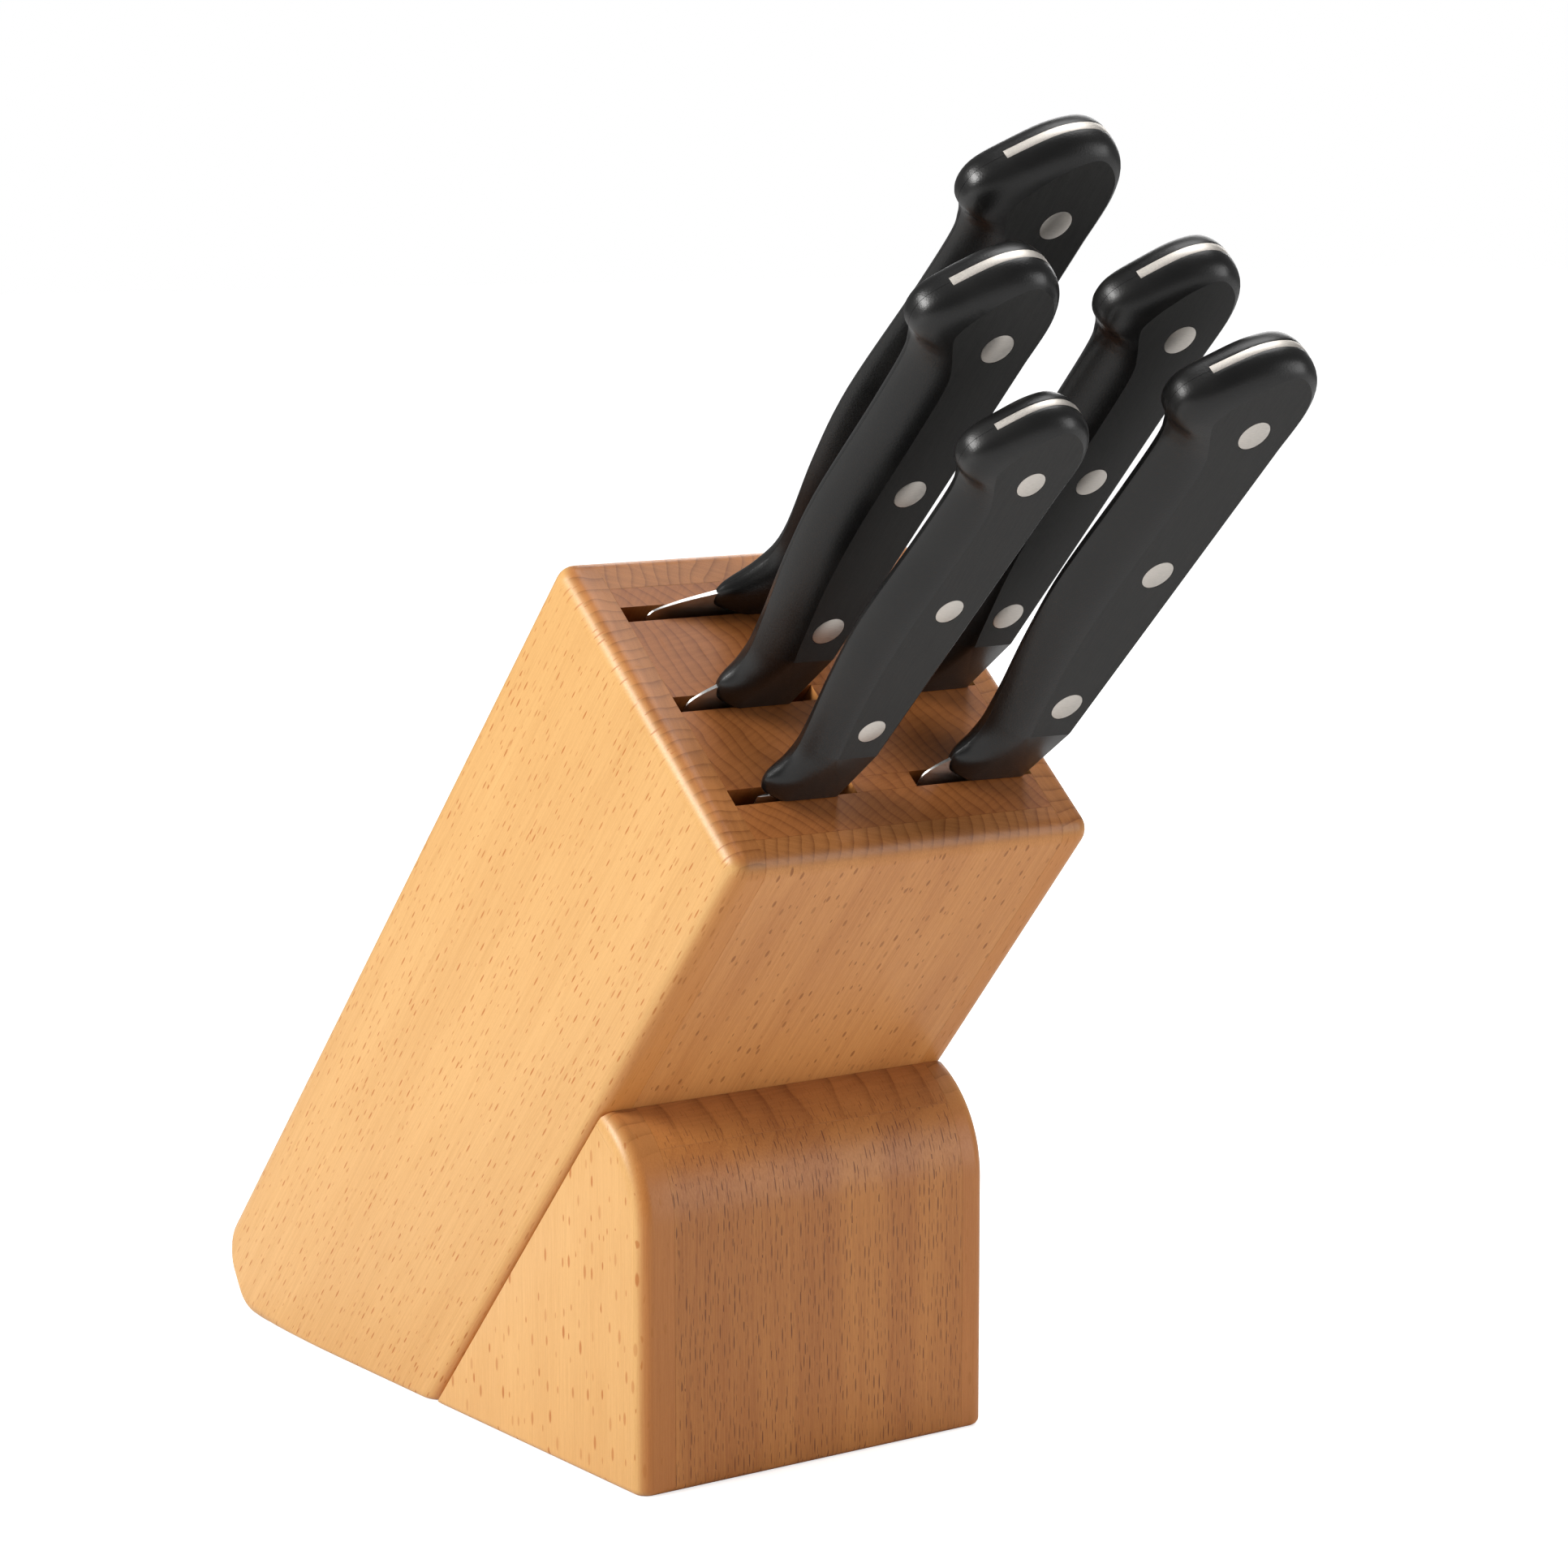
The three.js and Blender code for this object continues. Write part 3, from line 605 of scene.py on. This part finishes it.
def make_ground_black():
    """The flat sides of the handles, ground level with the rivets: greyer, with fine lines along them."""
    material, tree, shader = new_material("ground_black")
    place = node(tree, "TexCoord").outputs["Object"]
    turned = node(tree, "Mapping", {"Vector": place, "Rotation": (-TILT, 0, 0)}).outputs[0]
    lines = noise(tree, vector_node(tree, "MULTIPLY", turned, GROUND_LINES), 1.0, 3.0, 0.65)
    speckle = noise(tree, place, GROUND_SPECKLE, 1.0)
    speckle_share = math_node(tree, "MULTIPLY", speckle, 0.3)
    both = math_node(tree, "ADD", math_node(tree, "MULTIPLY", lines, 0.7), speckle_share)
    black, scored = (0.012, 0.012, 0.0116, 1), (0.026, 0.0255, 0.0246, 1)
    tone = mix_colour(tree, ramp(tree, both, 0.35, 0.65), black, scored)
    tree.links.new(tone, shader.inputs["Base Color"])
    tree.links.new(ramp(tree, both, 0.3, 0.7, 0.5, 0.62), shader.inputs["Roughness"])
    add_bump(tree, shader, both, 0.2, 0.05 * MM)
    set_values(shader, Specular_IOR_Level=0.3)
    return material


def make_steel(name, stretch, tint, low, high, strength):
    """Ground steel, with its roughness from low to high.

    Stretch is how fine the grinding lines are in X, square to the slots and along them, in turns per metre.
    """
    material, tree, shader = new_material(name)
    place = node(tree, "TexCoord").outputs["Object"]
    turned = node(tree, "Mapping", {"Vector": place, "Rotation": (-TILT, 0, 0)}).outputs[0]
    lines = noise(tree, vector_node(tree, "MULTIPLY", turned, stretch), 1.0, 3.0, 0.6)
    dark = tuple(LINE_SHADE * c for c in tint)
    tone = mix_colour(tree, ramp(tree, lines, 0.3, 0.7), (*dark, 1), (*tint, 1))
    tree.links.new(tone, shader.inputs["Base Color"])
    tree.links.new(ramp(tree, lines, 0.3, 0.7, low, high), shader.inputs["Roughness"])
    add_bump(tree, shader, lines, strength, 0.02 * MM)
    set_values(shader, Metallic=1.0)
    return material


MOULDED = make_moulded_black()
GROUND = make_ground_black()
BLADE_STEEL = make_steel("blade_steel", (300.0, 300.0, 9000.0), (0.70, 0.69, 0.67), 0.3, 0.4, 0.04)
TANG_STEEL = make_steel("tang_steel", (4000.0, 4000.0, 2500.0), (0.78, 0.73, 0.67), 0.42, 0.52, 0.1)
RIVET_STEEL = make_steel("rivet_steel", (900.0, 900.0, 7000.0), (0.7, 0.66, 0.61), 0.38, 0.5, 0.12)

# ------------------------------------------------------------------ the wooden pieces

SIDE_LOOKS = dict(
    Light=(0.73, 0.425, 0.158, 1), Dark=(0.58, 0.30, 0.095, 1), Fleck=(0.47, 0.17, 0.036, 1),
    End=(0.48, 0.185, 0.052, 1), Edge=(0.89, 0.64, 0.46, 1), Half_Width=0.18, Half_Length=1.15, Spacing=1.85,
    Share=0.8, Fleck_Strength=1.0, Ring_Strength=0.12, Band_Strength=0.12,
)
FOOT_SIDE_LOOKS = dict(
    SIDE_LOOKS, Edge=(0.76, 0.50, 0.34, 1), Half_Width=0.4, Half_Length=1.3, Spacing=3.0, Share=0.68,
)
FRONT_LOOKS = dict(
    SIDE_LOOKS, Light=(0.69, 0.31, 0.095, 1), Dark=(0.50, 0.19, 0.05, 1), Fleck=(0.36, 0.13, 0.034, 1),
    Edge=UNTINTED, Half_Width=0.33, Half_Length=0.9, Spacing=2.7, Share=0.8, Ring_Strength=0.16,
    Band_Strength=0.2,
)
FOOT_FRONT_LOOKS = dict(
    FRONT_LOOKS, Light=(0.60, 0.245, 0.06, 1), Dark=(0.41, 0.14, 0.032, 1), Fleck=(0.19, 0.062, 0.017, 1),
    Half_Width=0.13, Half_Length=1.45, Spacing=1.2, Share=0.85, Ring_Strength=0.2, Band_Strength=0.26,
)
FOOT_CORE_LOOKS = dict(FOOT_FRONT_LOOKS, Ring=8)
BACK_LOOKS = dict(SIDE_LOOKS, Edge=UNTINTED)
# On the core boards the facing tint works both ways and is painted shade that darkens the walls of the
# slots.
CORE_LOOKS = dict(
    FRONT_LOOKS, End=(0.43, 0.15, 0.04, 1), Edge=(0.5, 0.38, 0.3, 1), Both_Ways=1, Ring=2.9,
)

# Board, its slot in the record, its looks, the shift of its pattern in mm, and the pith of its growth rings,
# in mm across and square to the board.
BLOCK_BOARDS = [
    ("left_cheek", "beech_side", SIDE_LOOKS, (3, 11, 40), (-60, -210, 0)),
    ("right_cheek", "beech_side", SIDE_LOOKS, (57, 23, 310), (70, 260, 0)),
    ("front_board", "beech_front", FRONT_LOOKS, (19, 5, 120), (-150, 60, 0)),
    ("back_board", "beech_side", BACK_LOOKS, (31, 44, 220), (190, 40, 0)),
    ("front_lamella", "beech_end", CORE_LOOKS, (7, 3, 500), (-120, -60, 0)),
    ("middle_lamella", "beech_end", CORE_LOOKS, (13, 71, 650), (-160, 30, 0)),
    ("rear_core_lamella", "beech_end", CORE_LOOKS, (41, 87, 700), (-210, 110, 0)),
    ("rear_lamella", "beech_end", CORE_LOOKS, (5, 93, 900), (-170, 20, 0)),
    ("front_spacer", "beech_end", CORE_LOOKS, (9, 35, 820), (-140, 10, 0)),
    ("middle_spacer", "beech_end", CORE_LOOKS, (23, 55, 860), (-180, 70, 0)),
    ("rear_spacer", "beech_end", CORE_LOOKS, (77, 15, 940), (-200, 90, 0)),
]
FOOT_BOARDS = [
    ("left_cheek", "beech_side", FOOT_SIDE_LOOKS, (37, 9, 60), (-40, 230, 0)),
    ("right_cheek", "beech_side", FOOT_SIDE_LOOKS, (91, 29, 410), (120, 180, 0)),
    ("front_board", "beech_front", FOOT_FRONT_LOOKS, (3, 61, 150), (60, -120, 0)),
    ("core", "beech_front", FOOT_CORE_LOOKS, (47, 17, 250), (-90, -60, 0)),
]
GLUE_HALF = 0.15 * MM  # half the gap that the CAD boards keep
SPARE_LENGTH = 60 * MM  # of the block's bar below its CAD nodes, sawn off level
HEEL_FACET_TOP = 15.5 * MM  # height of the top of the flat on the block's lowest back corner
CUT_ROUND = 0.5 * MM  # on the foot's edges that meet the block
SAWN_CORNER = math.radians(35)  # the block's underside has flatter corners, which are rounded too
LEVEL = 0.1 * MM  # how near to the table counts as on it
ALONG = 0.99  # a normal this far along a direction faces it squarely


def face_angle(edge):
    return edge.calc_face_angle() if len(edge.link_faces) == 2 else 0


def on_table(edge):
    return all(v.co.z < LEVEL for v in edge.verts)


def runs_at(y, z):
    """A test for the edges that run along X at a place."""
    return lambda edge: all(abs(v.co.y - y) < MM and abs(v.co.z - z) < MM for v in edge.verts)


def sideways(normal):
    return abs(normal.x) > 0.9


def make_block_envelope():
    """The whole block before it is cut into boards: a leaning bar, sawn level, with its edges rounded."""
    low = Vector((BLOCK_LOW.x, BLOCK_LOW.y, BLOCK_LOW.z - SPARE_LENGTH))
    piece = box_piece("block_envelope", low, BLOCK_HIGH)
    piece.matrix_world = LEANING
    apply_place(piece)
    saw(piece, (0, 0, 0), (0, 0, -1))

    # The lowest back corner is blunted by a flat, from head on the back down to foot_y on the table.
    cheek = frame["nodes"]["block_left_cheek"].data.vertices
    foot_y = max(v.co.y for v in cheek if v.co.z < LEVEL)
    length = (HEEL_FACET_TOP - BLOCK_HIGH.y * math.sin(TILT)) / math.cos(TILT)
    head = LEANING @ Vector((0, BLOCK_HIGH.y, length))
    run = head - Vector((0, foot_y, 0))
    saw(piece, head, (0, run.z, -run.y))

    round_edges(piece, runs_at(head.y, head.z), HEEL_ROUND, segments=10)
    round_edges(piece, runs_at(foot_y, 0), FACET_FOOT_ROUND, segments=6)
    round_edges(piece, lambda e: face_angle(e) > SHARP and not on_table(e), LONG_ROUND, segments=8)
    round_edges(piece, lambda e: face_angle(e) > SAWN_CORNER and on_table(e), SAWN_ROUND, segments=3)
    return piece


def make_foot_envelope():
    """The whole foot before it is cut: a bar with its top rolled over to meet the block's front."""
    low, high = box_round([corner for n in FOOT_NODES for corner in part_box(n)])
    piece = box_piece("foot_envelope", low, Vector((high.x, high.y, FOOT_ARC_TOP)))
    round_edges(piece, runs_at(low.y, FOOT_ARC_TOP), FOOT_ARC, segments=24)

    def rolled(normal):
        """Of the front, the arc or the top, and of no side, back or underside."""
        return abs(normal.x) < 0.1 and normal.y < 0.5 and normal.z > -0.5

    def rim(edge):
        normals = [f.normal for f in edge.link_faces]
        return any(sideways(n) for n in normals) and any(rolled(n) for n in normals)

    round_edges(piece, rim, FOOT_ROUND, segments=8)
    round_edges(piece, lambda e: face_angle(e) > SHARP and on_table(e), SAWN_ROUND, segments=4)
    plane_point = LEANING @ Vector((0, BLOCK_LOW.y - JOINT_LINE, 0))
    plane_facing = LEANING.to_3x3() @ Vector((0, 1, 0))
    saw(piece, plane_point, plane_facing)

    def beside_block(edge):
        """Along the cut that meets the block, on a side of the foot."""
        cut = [f.normal.dot(plane_facing) > ALONG for f in edge.link_faces]
        side = [sideways(f.normal) for f in edge.link_faces]
        return any(cut) and all(a or b for a, b in zip(cut, side))

    round_edges(piece, beside_block, CUT_ROUND, segments=2)
    return piece


def cut_board(envelope, name, node_name, box, turn):
    """The part of an envelope that a CAD board fills, up to the middle of its glue lines."""
    low, high = box(node_name)
    inverse = turn.inverted()
    whole_low, whole_high = box_round([inverse @ v.co for v in envelope.data.vertices])
    piece = copy_of(envelope, name)
    grow = GLUE_HALF - JOINT_LINE / 2
    for axis in (0, 1):
        for sign, edge, outer in ((-1, low[axis], whole_low[axis]), (1, high[axis], whole_high[axis])):
            if abs(edge - outer) < MM:
                continue
            point = Vector((0, 0, 0))
            point[axis] = edge + sign * grow
            outward = Vector((0, 0, 0))
            outward[axis] = sign
            saw(piece, turn @ point, turn.to_3x3() @ outward)
    return piece


def finish_board(piece, node_name, tilt, looks, shift, pith):
    smooth(piece, 30)
    material = make_beech(f"beech_{piece.name}", tilt, shift, Pith=pith, **looks)
    piece.data.materials.clear()
    piece.data.materials.append(material)
    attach(piece, "block")
    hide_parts(node_name)


def make_wood():
    block = make_block_envelope()
    for name, slot, looks, shift, pith in BLOCK_BOARDS:
        node_name = f"block_{name}"
        piece = cut_board(block, f"{node_name}_wood", node_name, leaning_box, LEANING)
        finish_board(piece, node_name, TILT, looks, shift, pith)
    discard(block)
    foot = make_foot_envelope()
    for name, slot, looks, shift, pith in FOOT_BOARDS:
        node_name = f"foot_{name}"
        piece = cut_board(foot, f"{node_name}_wood", node_name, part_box, Matrix.Identity(4))
        finish_board(piece, node_name, 0, looks, shift, pith)
    discard(foot)


# ------------------------------------------------------------------ the handles

RUN_STEPS = 6  # along the handle's outline between two of its points
ROLL_STEPS = 10  # from the parting line up to the flat side
LAST_TURN = math.radians(72)  # short of a right angle, so that the flat side keeps a clear edge
PARTING = 0.01  # half the gap between the two scales
LIP = 0.03  # depth of the fine groove that the parting line shows
LIP_INSET = 0.04  # how far in from the outline the two scales meet
STRIP_END = 0.06  # share of a step in which the scales close up past the end of the tang's strip
DRILL_PLAY = 0.05  # between a rivet and its hole
DRILL_LONGER = 2  # than the rivet, to come out on both sides
PIN_SIDES = 56
PIN_PROUD = 0.03  # how much longer a rivet is than the handle is thick


def handle_point(knife, point):
    """A point of the master outline, brought to this knife's length and widths, in mm."""
    across, along = point
    share = along / MASTER_LENGTH
    width = knife["low"] + (knife["high"] - knife["low"]) * min(1, share / BUTT_WIDTH_FROM)
    if across < 0:
        across *= width * (1 + (knife["guard"] - 1) * max(0, 1 - along / CREASE))
    return across, share * knife["handle"]


def half_thickness(knife, along):
    share = min(1, along / (CREASE / MASTER_LENGTH * knife["handle"]))
    return THIN_END + (knife["half"] - THIN_END) * share


def handle_loops(knife):
    """Two loops of points round the handle, in step, and the point at which the tang's strip ends.

    The first is where the scales part and the second where the flat side begins; Z is the fullness.
    """
    crease = CREASE / MASTER_LENGTH * knife["handle"]
    outline = smooth_run([(*handle_point(knife, p), w) for p, w in zip(OUTLINE, FULLNESS)], RUN_STEPS)
    flat = smooth_run([(*handle_point(knife, p), w) for p, w in zip(FLAT, FULLNESS)], RUN_STEPS)
    slope = outline[0].x / outline[0].y
    lower = [Vector((slope * along, along, FULLNESS[0])) for along in (0, crease)]
    outline = lower + outline
    flat = [p - Vector((SPINE_ROUND, 0, 0)) for p in lower] + flat
    turn = len(lower) + TANG_TURN * RUN_STEPS
    for loop in (outline, flat):
        loop.insert(turn + 1, loop[turn].lerp(loop[turn + 1], STRIP_END))
    return outline, flat, turn


def scale_rings(knife):
    """The rings of one scale, from the parting face to the flat side, in metres."""
    outline, flat, turn = handle_loops(knife)
    rings = [[] for _ in range(ROLL_STEPS + 2)]
    for i, (edge, top) in enumerate(zip(outline, flat)):
        base = knife["thick"] / 2 + PARTING if i <= turn else PARTING
        full = half_thickness(knife, edge.y)
        first = math.asin((base + LIP) / full * math.sin(LAST_TURN))
        inset = edge.lerp(top, LIP_INSET / (edge - top).length)
        rings[0].append(Vector((inset.x, inset.y, base)) * MM)
        for k in range(ROLL_STEPS + 1):
            angle = first + (LAST_TURN - first) * k / ROLL_STEPS
            reach = ((1 - math.cos(angle)) / (1 - math.cos(LAST_TURN))) ** edge.z
            spot = edge.lerp(top, reach)
            height = half_thickness(knife, spot.y) * math.sin(angle) / math.sin(LAST_TURN)
            rings[k + 1].append(Vector((spot.x, spot.y, height)) * MM)
    return rings


def make_scale(name, knife, front):
    """One scale of a handle: rolled over from the parting line, flat on the side, drilled for its rivets."""
    rings = scale_rings(knife)
    piece = loft(name, rings)
    # The flat side folds along the crease. Two points come before OUTLINE's own, and one after its turn.
    crease = 2 + CREASE_POINT * RUN_STEPS + 1
    corners = (rings[-1][1], rings[-1][crease])
    bpy.ops.object.mode_set(mode="EDIT")
    pick(piece, "VERT", lambda v: any((v.co - c).length < SAME_SPOT for c in corners))
    bpy.ops.mesh.vert_connect()
    bpy.ops.object.mode_set(mode="OBJECT")
    for spot in RIVETS:
        drill = make_pin(f"{name}_drill", knife, handle_point(knife, spot), DRILL_PLAY, DRILL_LONGER)
        select_only(piece)
        cut = piece.modifiers.new("hole", "BOOLEAN")
        cut.operation = "DIFFERENCE"
        cut.object = drill
        bpy.ops.object.modifier_apply(modifier=cut.name)
        discard(drill)
    select_only(piece)
    piece.data.materials.clear()
    piece.data.materials.append(MOULDED)
    piece.data.materials.append(GROUND)
    side = knife["half"] * MM
    for face in piece.data.polygons:
        ground = face.normal.z > 0.999 and abs(face.center.z - side) < 0.01 * MM
        face.material_index = 1 if ground else 0
    if not front:
        piece.scale = (1, 1, -1)
        apply_place(piece)
        face_outwards(piece)
    smooth(piece, 40)
    bpy.ops.object.mode_set(mode="EDIT")
    pick(piece, "EDGE", lambda e: len({f.material_index for f in e.link_faces}) == 2)
    bpy.ops.mesh.mark_sharp()
    bpy.ops.object.mode_set(mode="OBJECT")
    return piece


def make_pin(name, knife, spot, wider, longer):
    """A rivet: a turned pin, flush with both flat sides, its rims just broken.

    The drill for its hole is the same pin, wider and longer.
    """
    bpy.ops.object.select_all(action="DESELECT")
    bpy.ops.mesh.primitive_cylinder_add(
        vertices=PIN_SIDES,
        radius=(knife["rivet"] + wider) * MM,
        depth=(2 * knife["half"] + PIN_PROUD + longer) * MM,
        location=(spot[0] * MM, spot[1] * MM, 0),
    )
    piece = named(name)
    apply_place(piece)
    round_edges(piece, lambda e: face_angle(e) > SHARP, PIN_BREAK, segments=2)
    return piece


# ------------------------------------------------------------------ the blades

# The heel's curve from the edge's corner to the guard: share of the way, and mm up from the handle's end.
HEEL = [(0, -1), (0.05, 0.2), (0.2, 1.4), (0.5, 3), (1, 5), (1.3, 6.5)]
EDGE_FROM = HEEL[0][1]  # where the cutting edge begins, in mm up from the handle's end
HEEL_STEPS = 18  # sections of a blade from inside the handle down to the edge's corner
BLADE_STEPS = 64  # from there to the point
SCALLOPED_STEPS = 170
CROWDING = 1.5  # over 1, the sections of a plain blade crowd towards its point
POINT_LEFT = 0.05  # of a blade past its last section
ACROSS_STEPS = 8  # of a blade's section from the spine to the edge
EDGE_THICK = 0.34  # where the ground face meets the cutting bevel
KEEN = 0.06  # thickness left at the edge itself
CUTTING_BEVEL = 0.6  # height of the cutting bevel
BEVEL_SHARE = 0.4  # of the blade's width at most, near the point
NARROWEST = 0.05  # width of a blade at its point
GROUND_SHARE = 0.8  # of the blade's height, over which it thins
HEEL_SHOWS = 1.5  # how far past the guard a blade's edge reaches where its heel shows
TUCK = 2.5  # how far under the guard the edge's corner lies where it doesn't


def reading(curve, y):
    """X of a curve of (x, y) points where it passes y."""
    for a, b in zip(curve, curve[1:]):
        if min(a.y, b.y) <= y <= max(a.y, b.y) and a.y != b.y:
            return a.x + (b.x - a.x) * (y - a.y) / (b.y - a.y)
    return curve[-1].x if y < curve[-1].y else curve[0].x


def blade_stations(knife):
    """How far along each section of a blade lies, from inside the handle down to the point."""
    top = HEEL[-1][1]
    stations = [top - (top - EDGE_FROM) * k / HEEL_STEPS for k in range(HEEL_STEPS)]
    scalloped = knife["kind"] == "bread"
    count = SCALLOPED_STEPS if scalloped else BLADE_STEPS
    run = knife["length"] + EDGE_FROM - POINT_LEFT
    for k in range(count + 1):
        left = (1 - k / count) ** (1 if scalloped else CROWDING)
        stations.append(EDGE_FROM - run * (1 - left))
    return stations


def blade_rings(knife):
    """Sections of the blade from inside the handle down to the point."""
    length, height = knife["length"], knife["height"]
    spine, edge = (
        smooth_run([(-a * height, -b * length, 0) for a, b in curve], steps=10)
        for curve in BLADE_CURVES[knife["kind"]]
    )
    guard_x = handle_point(knife, GUARD)[0]
    corner = -height if height > HEEL_SHOWS - guard_x else guard_x + TUCK
    heel = smooth_run([(corner + a * max(0, guard_x - corner), b, 0) for a, b in HEEL], steps=8)
    rings = []
    for y in blade_stations(knife):
        back = reading(spine, y)
        whole = reading(edge, y)
        front = reading(heel, y) if y > EDGE_FROM else whole
        if knife["kind"] == "bread" and SCALLOPS_FROM < -y < SCALLOPS_TO:
            front += SCALLOP_DEPTH * abs(math.sin(math.pi * (-y - SCALLOPS_FROM) / SCALLOP_PITCH))
        width = max(back - front, NARROWEST)
        ground_to = front + min(CUTTING_BEVEL, width * BEVEL_SHARE)
        places = [back + (ground_to - back) * j / (ACROSS_STEPS - 1) for j in range(ACROSS_STEPS)]
        places.append(front)
        halves = []
        for x in places:
            share = min(1, max(0, x - whole) / (GROUND_SHARE * height))
            halves.append((EDGE_THICK + (knife["thick"] - EDGE_THICK) * share) / 2)
        if y <= EDGE_FROM:
            halves[-1] = KEEN / 2
        side = [Vector((x, y, h)) * MM for x, h in zip(places, halves)]
        rings.append(side + [Vector((v.x, v.y, -v.z)) for v in reversed(side)])
    return rings


def make_tang(name, knife):
    """The plate between the scales: flush along the spine and round the butt, and short of the belly."""
    outline, _, turn = handle_loops(knife)
    flush = [Vector((p.x, p.y)) for p in outline[: turn + 1]]
    belly = OUTLINE[0][0] - BELLY_REACH
    inner = [Vector((handle_point(knife, (belly, along))[0] + TANG_INSET, along)) for along in TANG_BACK]
    step = Vector((flush[-1].x, flush[-1].y - TANG_STEP))
    loop = [*flush, step, *inner, Vector((inner[-1].x, TANG_FOOT))]
    half = knife["thick"] / 2 * MM
    tang = loft(name, [[Vector((p.x * MM, p.y * MM, z)) for p in loop] for z in (-half, half)])

    def rim(edge):
        a, b = edge.verts
        return face_angle(edge) > SHARP and abs(a.co.z - b.co.z) < SAME_SPOT

    round_edges(tang, rim, TANG_BREAK, segments=2)
    smooth(tang, 40)
    return tang


def make_blade(name, knife):
    """A blade, ground thin to its edge, and its tang, joined into one piece."""
    blade = loft(name, blade_rings(knife))
    smooth(blade, 10)
    tang = make_tang(f"{name}_tang", knife)
    blade.data.materials.append(BLADE_STEEL)
    tang.data.materials.append(TANG_STEEL)
    select_only(blade, tang)
    bpy.ops.object.join()
    return blade


# ------------------------------------------------------------------ the knives in their slots


def knife_place(body, knife):
    """Where a knife stands: its own first and last rivets say how its plane lies."""
    centres = []
    for i in (1, 3):
        low, high = leaning_box(f"{body}_rivet_{i}")
        centres.append((low + high) / 2)
    first, last = (Vector(handle_point(knife, RIVETS[i])) * MM for i in (0, 2))
    run = centres[1] - centres[0]
    lean = math.atan2(run.x, run.z) - math.atan2(last.x - first.x, last.y - first.y)
    turn = Matrix.Rotation(lean, 4, "Y") @ Matrix.Rotation(math.pi / 2, 4, "X")
    origin = centres[0] - (turn @ Vector((first.x, first.y, 0)))
    return LEANING @ Matrix.Translation(origin) @ turn


def put(piece, place, body, node_name):
    """Moves a finished piece from the bench to its knife's place."""
    piece.matrix_world = place
    apply_place(piece)
    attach(piece, body)
    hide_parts(node_name)


def make_knife(body):
    knife = KNIVES[body]
    place = knife_place(body, knife)
    put(make_blade(f"{body}_steel", knife), place, body, f"{body}_blade")
    for side in ("front", "back"):
        grip = make_scale(f"{body}_{side}_grip", knife, side == "front")
        put(grip, place, body, f"{body}_{side}_scale")
    for i, spot in enumerate(RIVETS, 1):
        pin = make_pin(f"{body}_pin_{i}", knife, handle_point(knife, spot), 0, 0)
        smooth(pin, 40)
        pin.data.materials.append(RIVET_STEEL)
        put(pin, place, body, f"{body}_rivet_{i}")


# ------------------------------------------------------------------ stage, light and camera

FLOOR_SIZE = 14
# The floor's own light, which only the camera sees: metres from the object, and the strength there.
LIFT_NEAR = (0.3, 0.7)
LIFT_FAR = (1.3, 1.0)
ROOM_LIGHT = 0.2
CAMERA_PLACE = Vector((-0.49510, -0.76724, 0.27023))
CAMERA_AIM = Vector((0.57427, 0.80509, -0.14847))
CAMERA_LENS = 95.53  # mm, on a sensor 36 mm wide


def make_stage():
    """A pale floor that runs on into a pale backdrop."""
    bpy.ops.object.select_all(action="DESELECT")
    bpy.ops.mesh.primitive_plane_add(size=FLOOR_SIZE, location=(0, 0, 0))
    floor = named("floor")
    material, tree, shader = new_material("floor_white")
    set_values(shader, Base_Color=(0.8, 0.8, 0.8, 1), Roughness=0.9, Emission_Color=(1, 1, 1, 1))
    seen = node(tree, "LightPath").outputs["Is Camera Ray"]
    distance = vector_node(tree, "LENGTH", node(tree, "TexCoord").outputs["Object"])
    strength = ramp(tree, distance, LIFT_NEAR[0], LIFT_FAR[0], LIFT_NEAR[1], LIFT_FAR[1])
    lift = math_node(tree, "MULTIPLY", seen, strength)
    tree.links.new(lift, shader.inputs["Emission Strength"])
    floor.data.materials.append(material)

    world = bpy.data.worlds.new("studio")
    world.use_nodes = True
    bpy.context.scene.world = world
    tree = world.node_tree
    room = tree.nodes["Background"]
    room.inputs["Color"].default_value = (1, 1, 1, 1)
    room.inputs["Strength"].default_value = ROOM_LIGHT
    backdrop = node(tree, "Background", {"Color": (1, 1, 1, 1), "Strength": 1.0})
    seen = node(tree, "LightPath").outputs["Is Camera Ray"]
    either = node(tree, "MixShader", {0: seen, 1: room.outputs[0], 2: backdrop.outputs[0]})
    tree.links.new(either.outputs[0], tree.nodes["World Output"].inputs["Surface"])


def add_light(name, place, aim, size, power, colour=(1, 1, 1)):
    """A square soft light, size in metres and power in watts."""
    light = bpy.data.lights.new(name, "AREA")
    light.size = size
    light.energy = power
    light.color = colour
    lamp = bpy.data.objects.new(name, light)
    bpy.context.scene.collection.objects.link(lamp)
    lamp.location = place
    lamp.rotation_euler = (Vector(aim) - Vector(place)).to_track_quat("-Z", "Y").to_euler()


def make_lights():
    middle = (0, 0, 0.14)
    add_light("key", (-1.25, 0.12, 0.95), middle, 0.6, 24, (1.0, 0.99, 0.975))
    add_light("fill", (0.95, -1.15, 0.35), middle, 0.8, 6)
    add_light("overhead", (0.3, -0.1, 1.3), middle, 0.7, 6)
    add_light("back", (1.1, 0.95, 0.75), middle, 0.8, 6)


def make_camera():
    data = bpy.data.cameras.new("camera")
    data.sensor_width = 36
    data.lens = CAMERA_LENS
    camera = bpy.data.objects.new("camera", data)
    bpy.context.scene.collection.objects.link(camera)
    camera.location = CAMERA_PLACE
    camera.rotation_euler = CAMERA_AIM.to_track_quat("-Z", "Y").to_euler()
    bpy.context.scene.camera = camera


make_camera()
make_stage()
make_lights()
make_wood()
for body_name in KNIFE_NAMES:
    make_knife(body_name)
bpy.context.scene.view_settings.view_transform = "Standard"
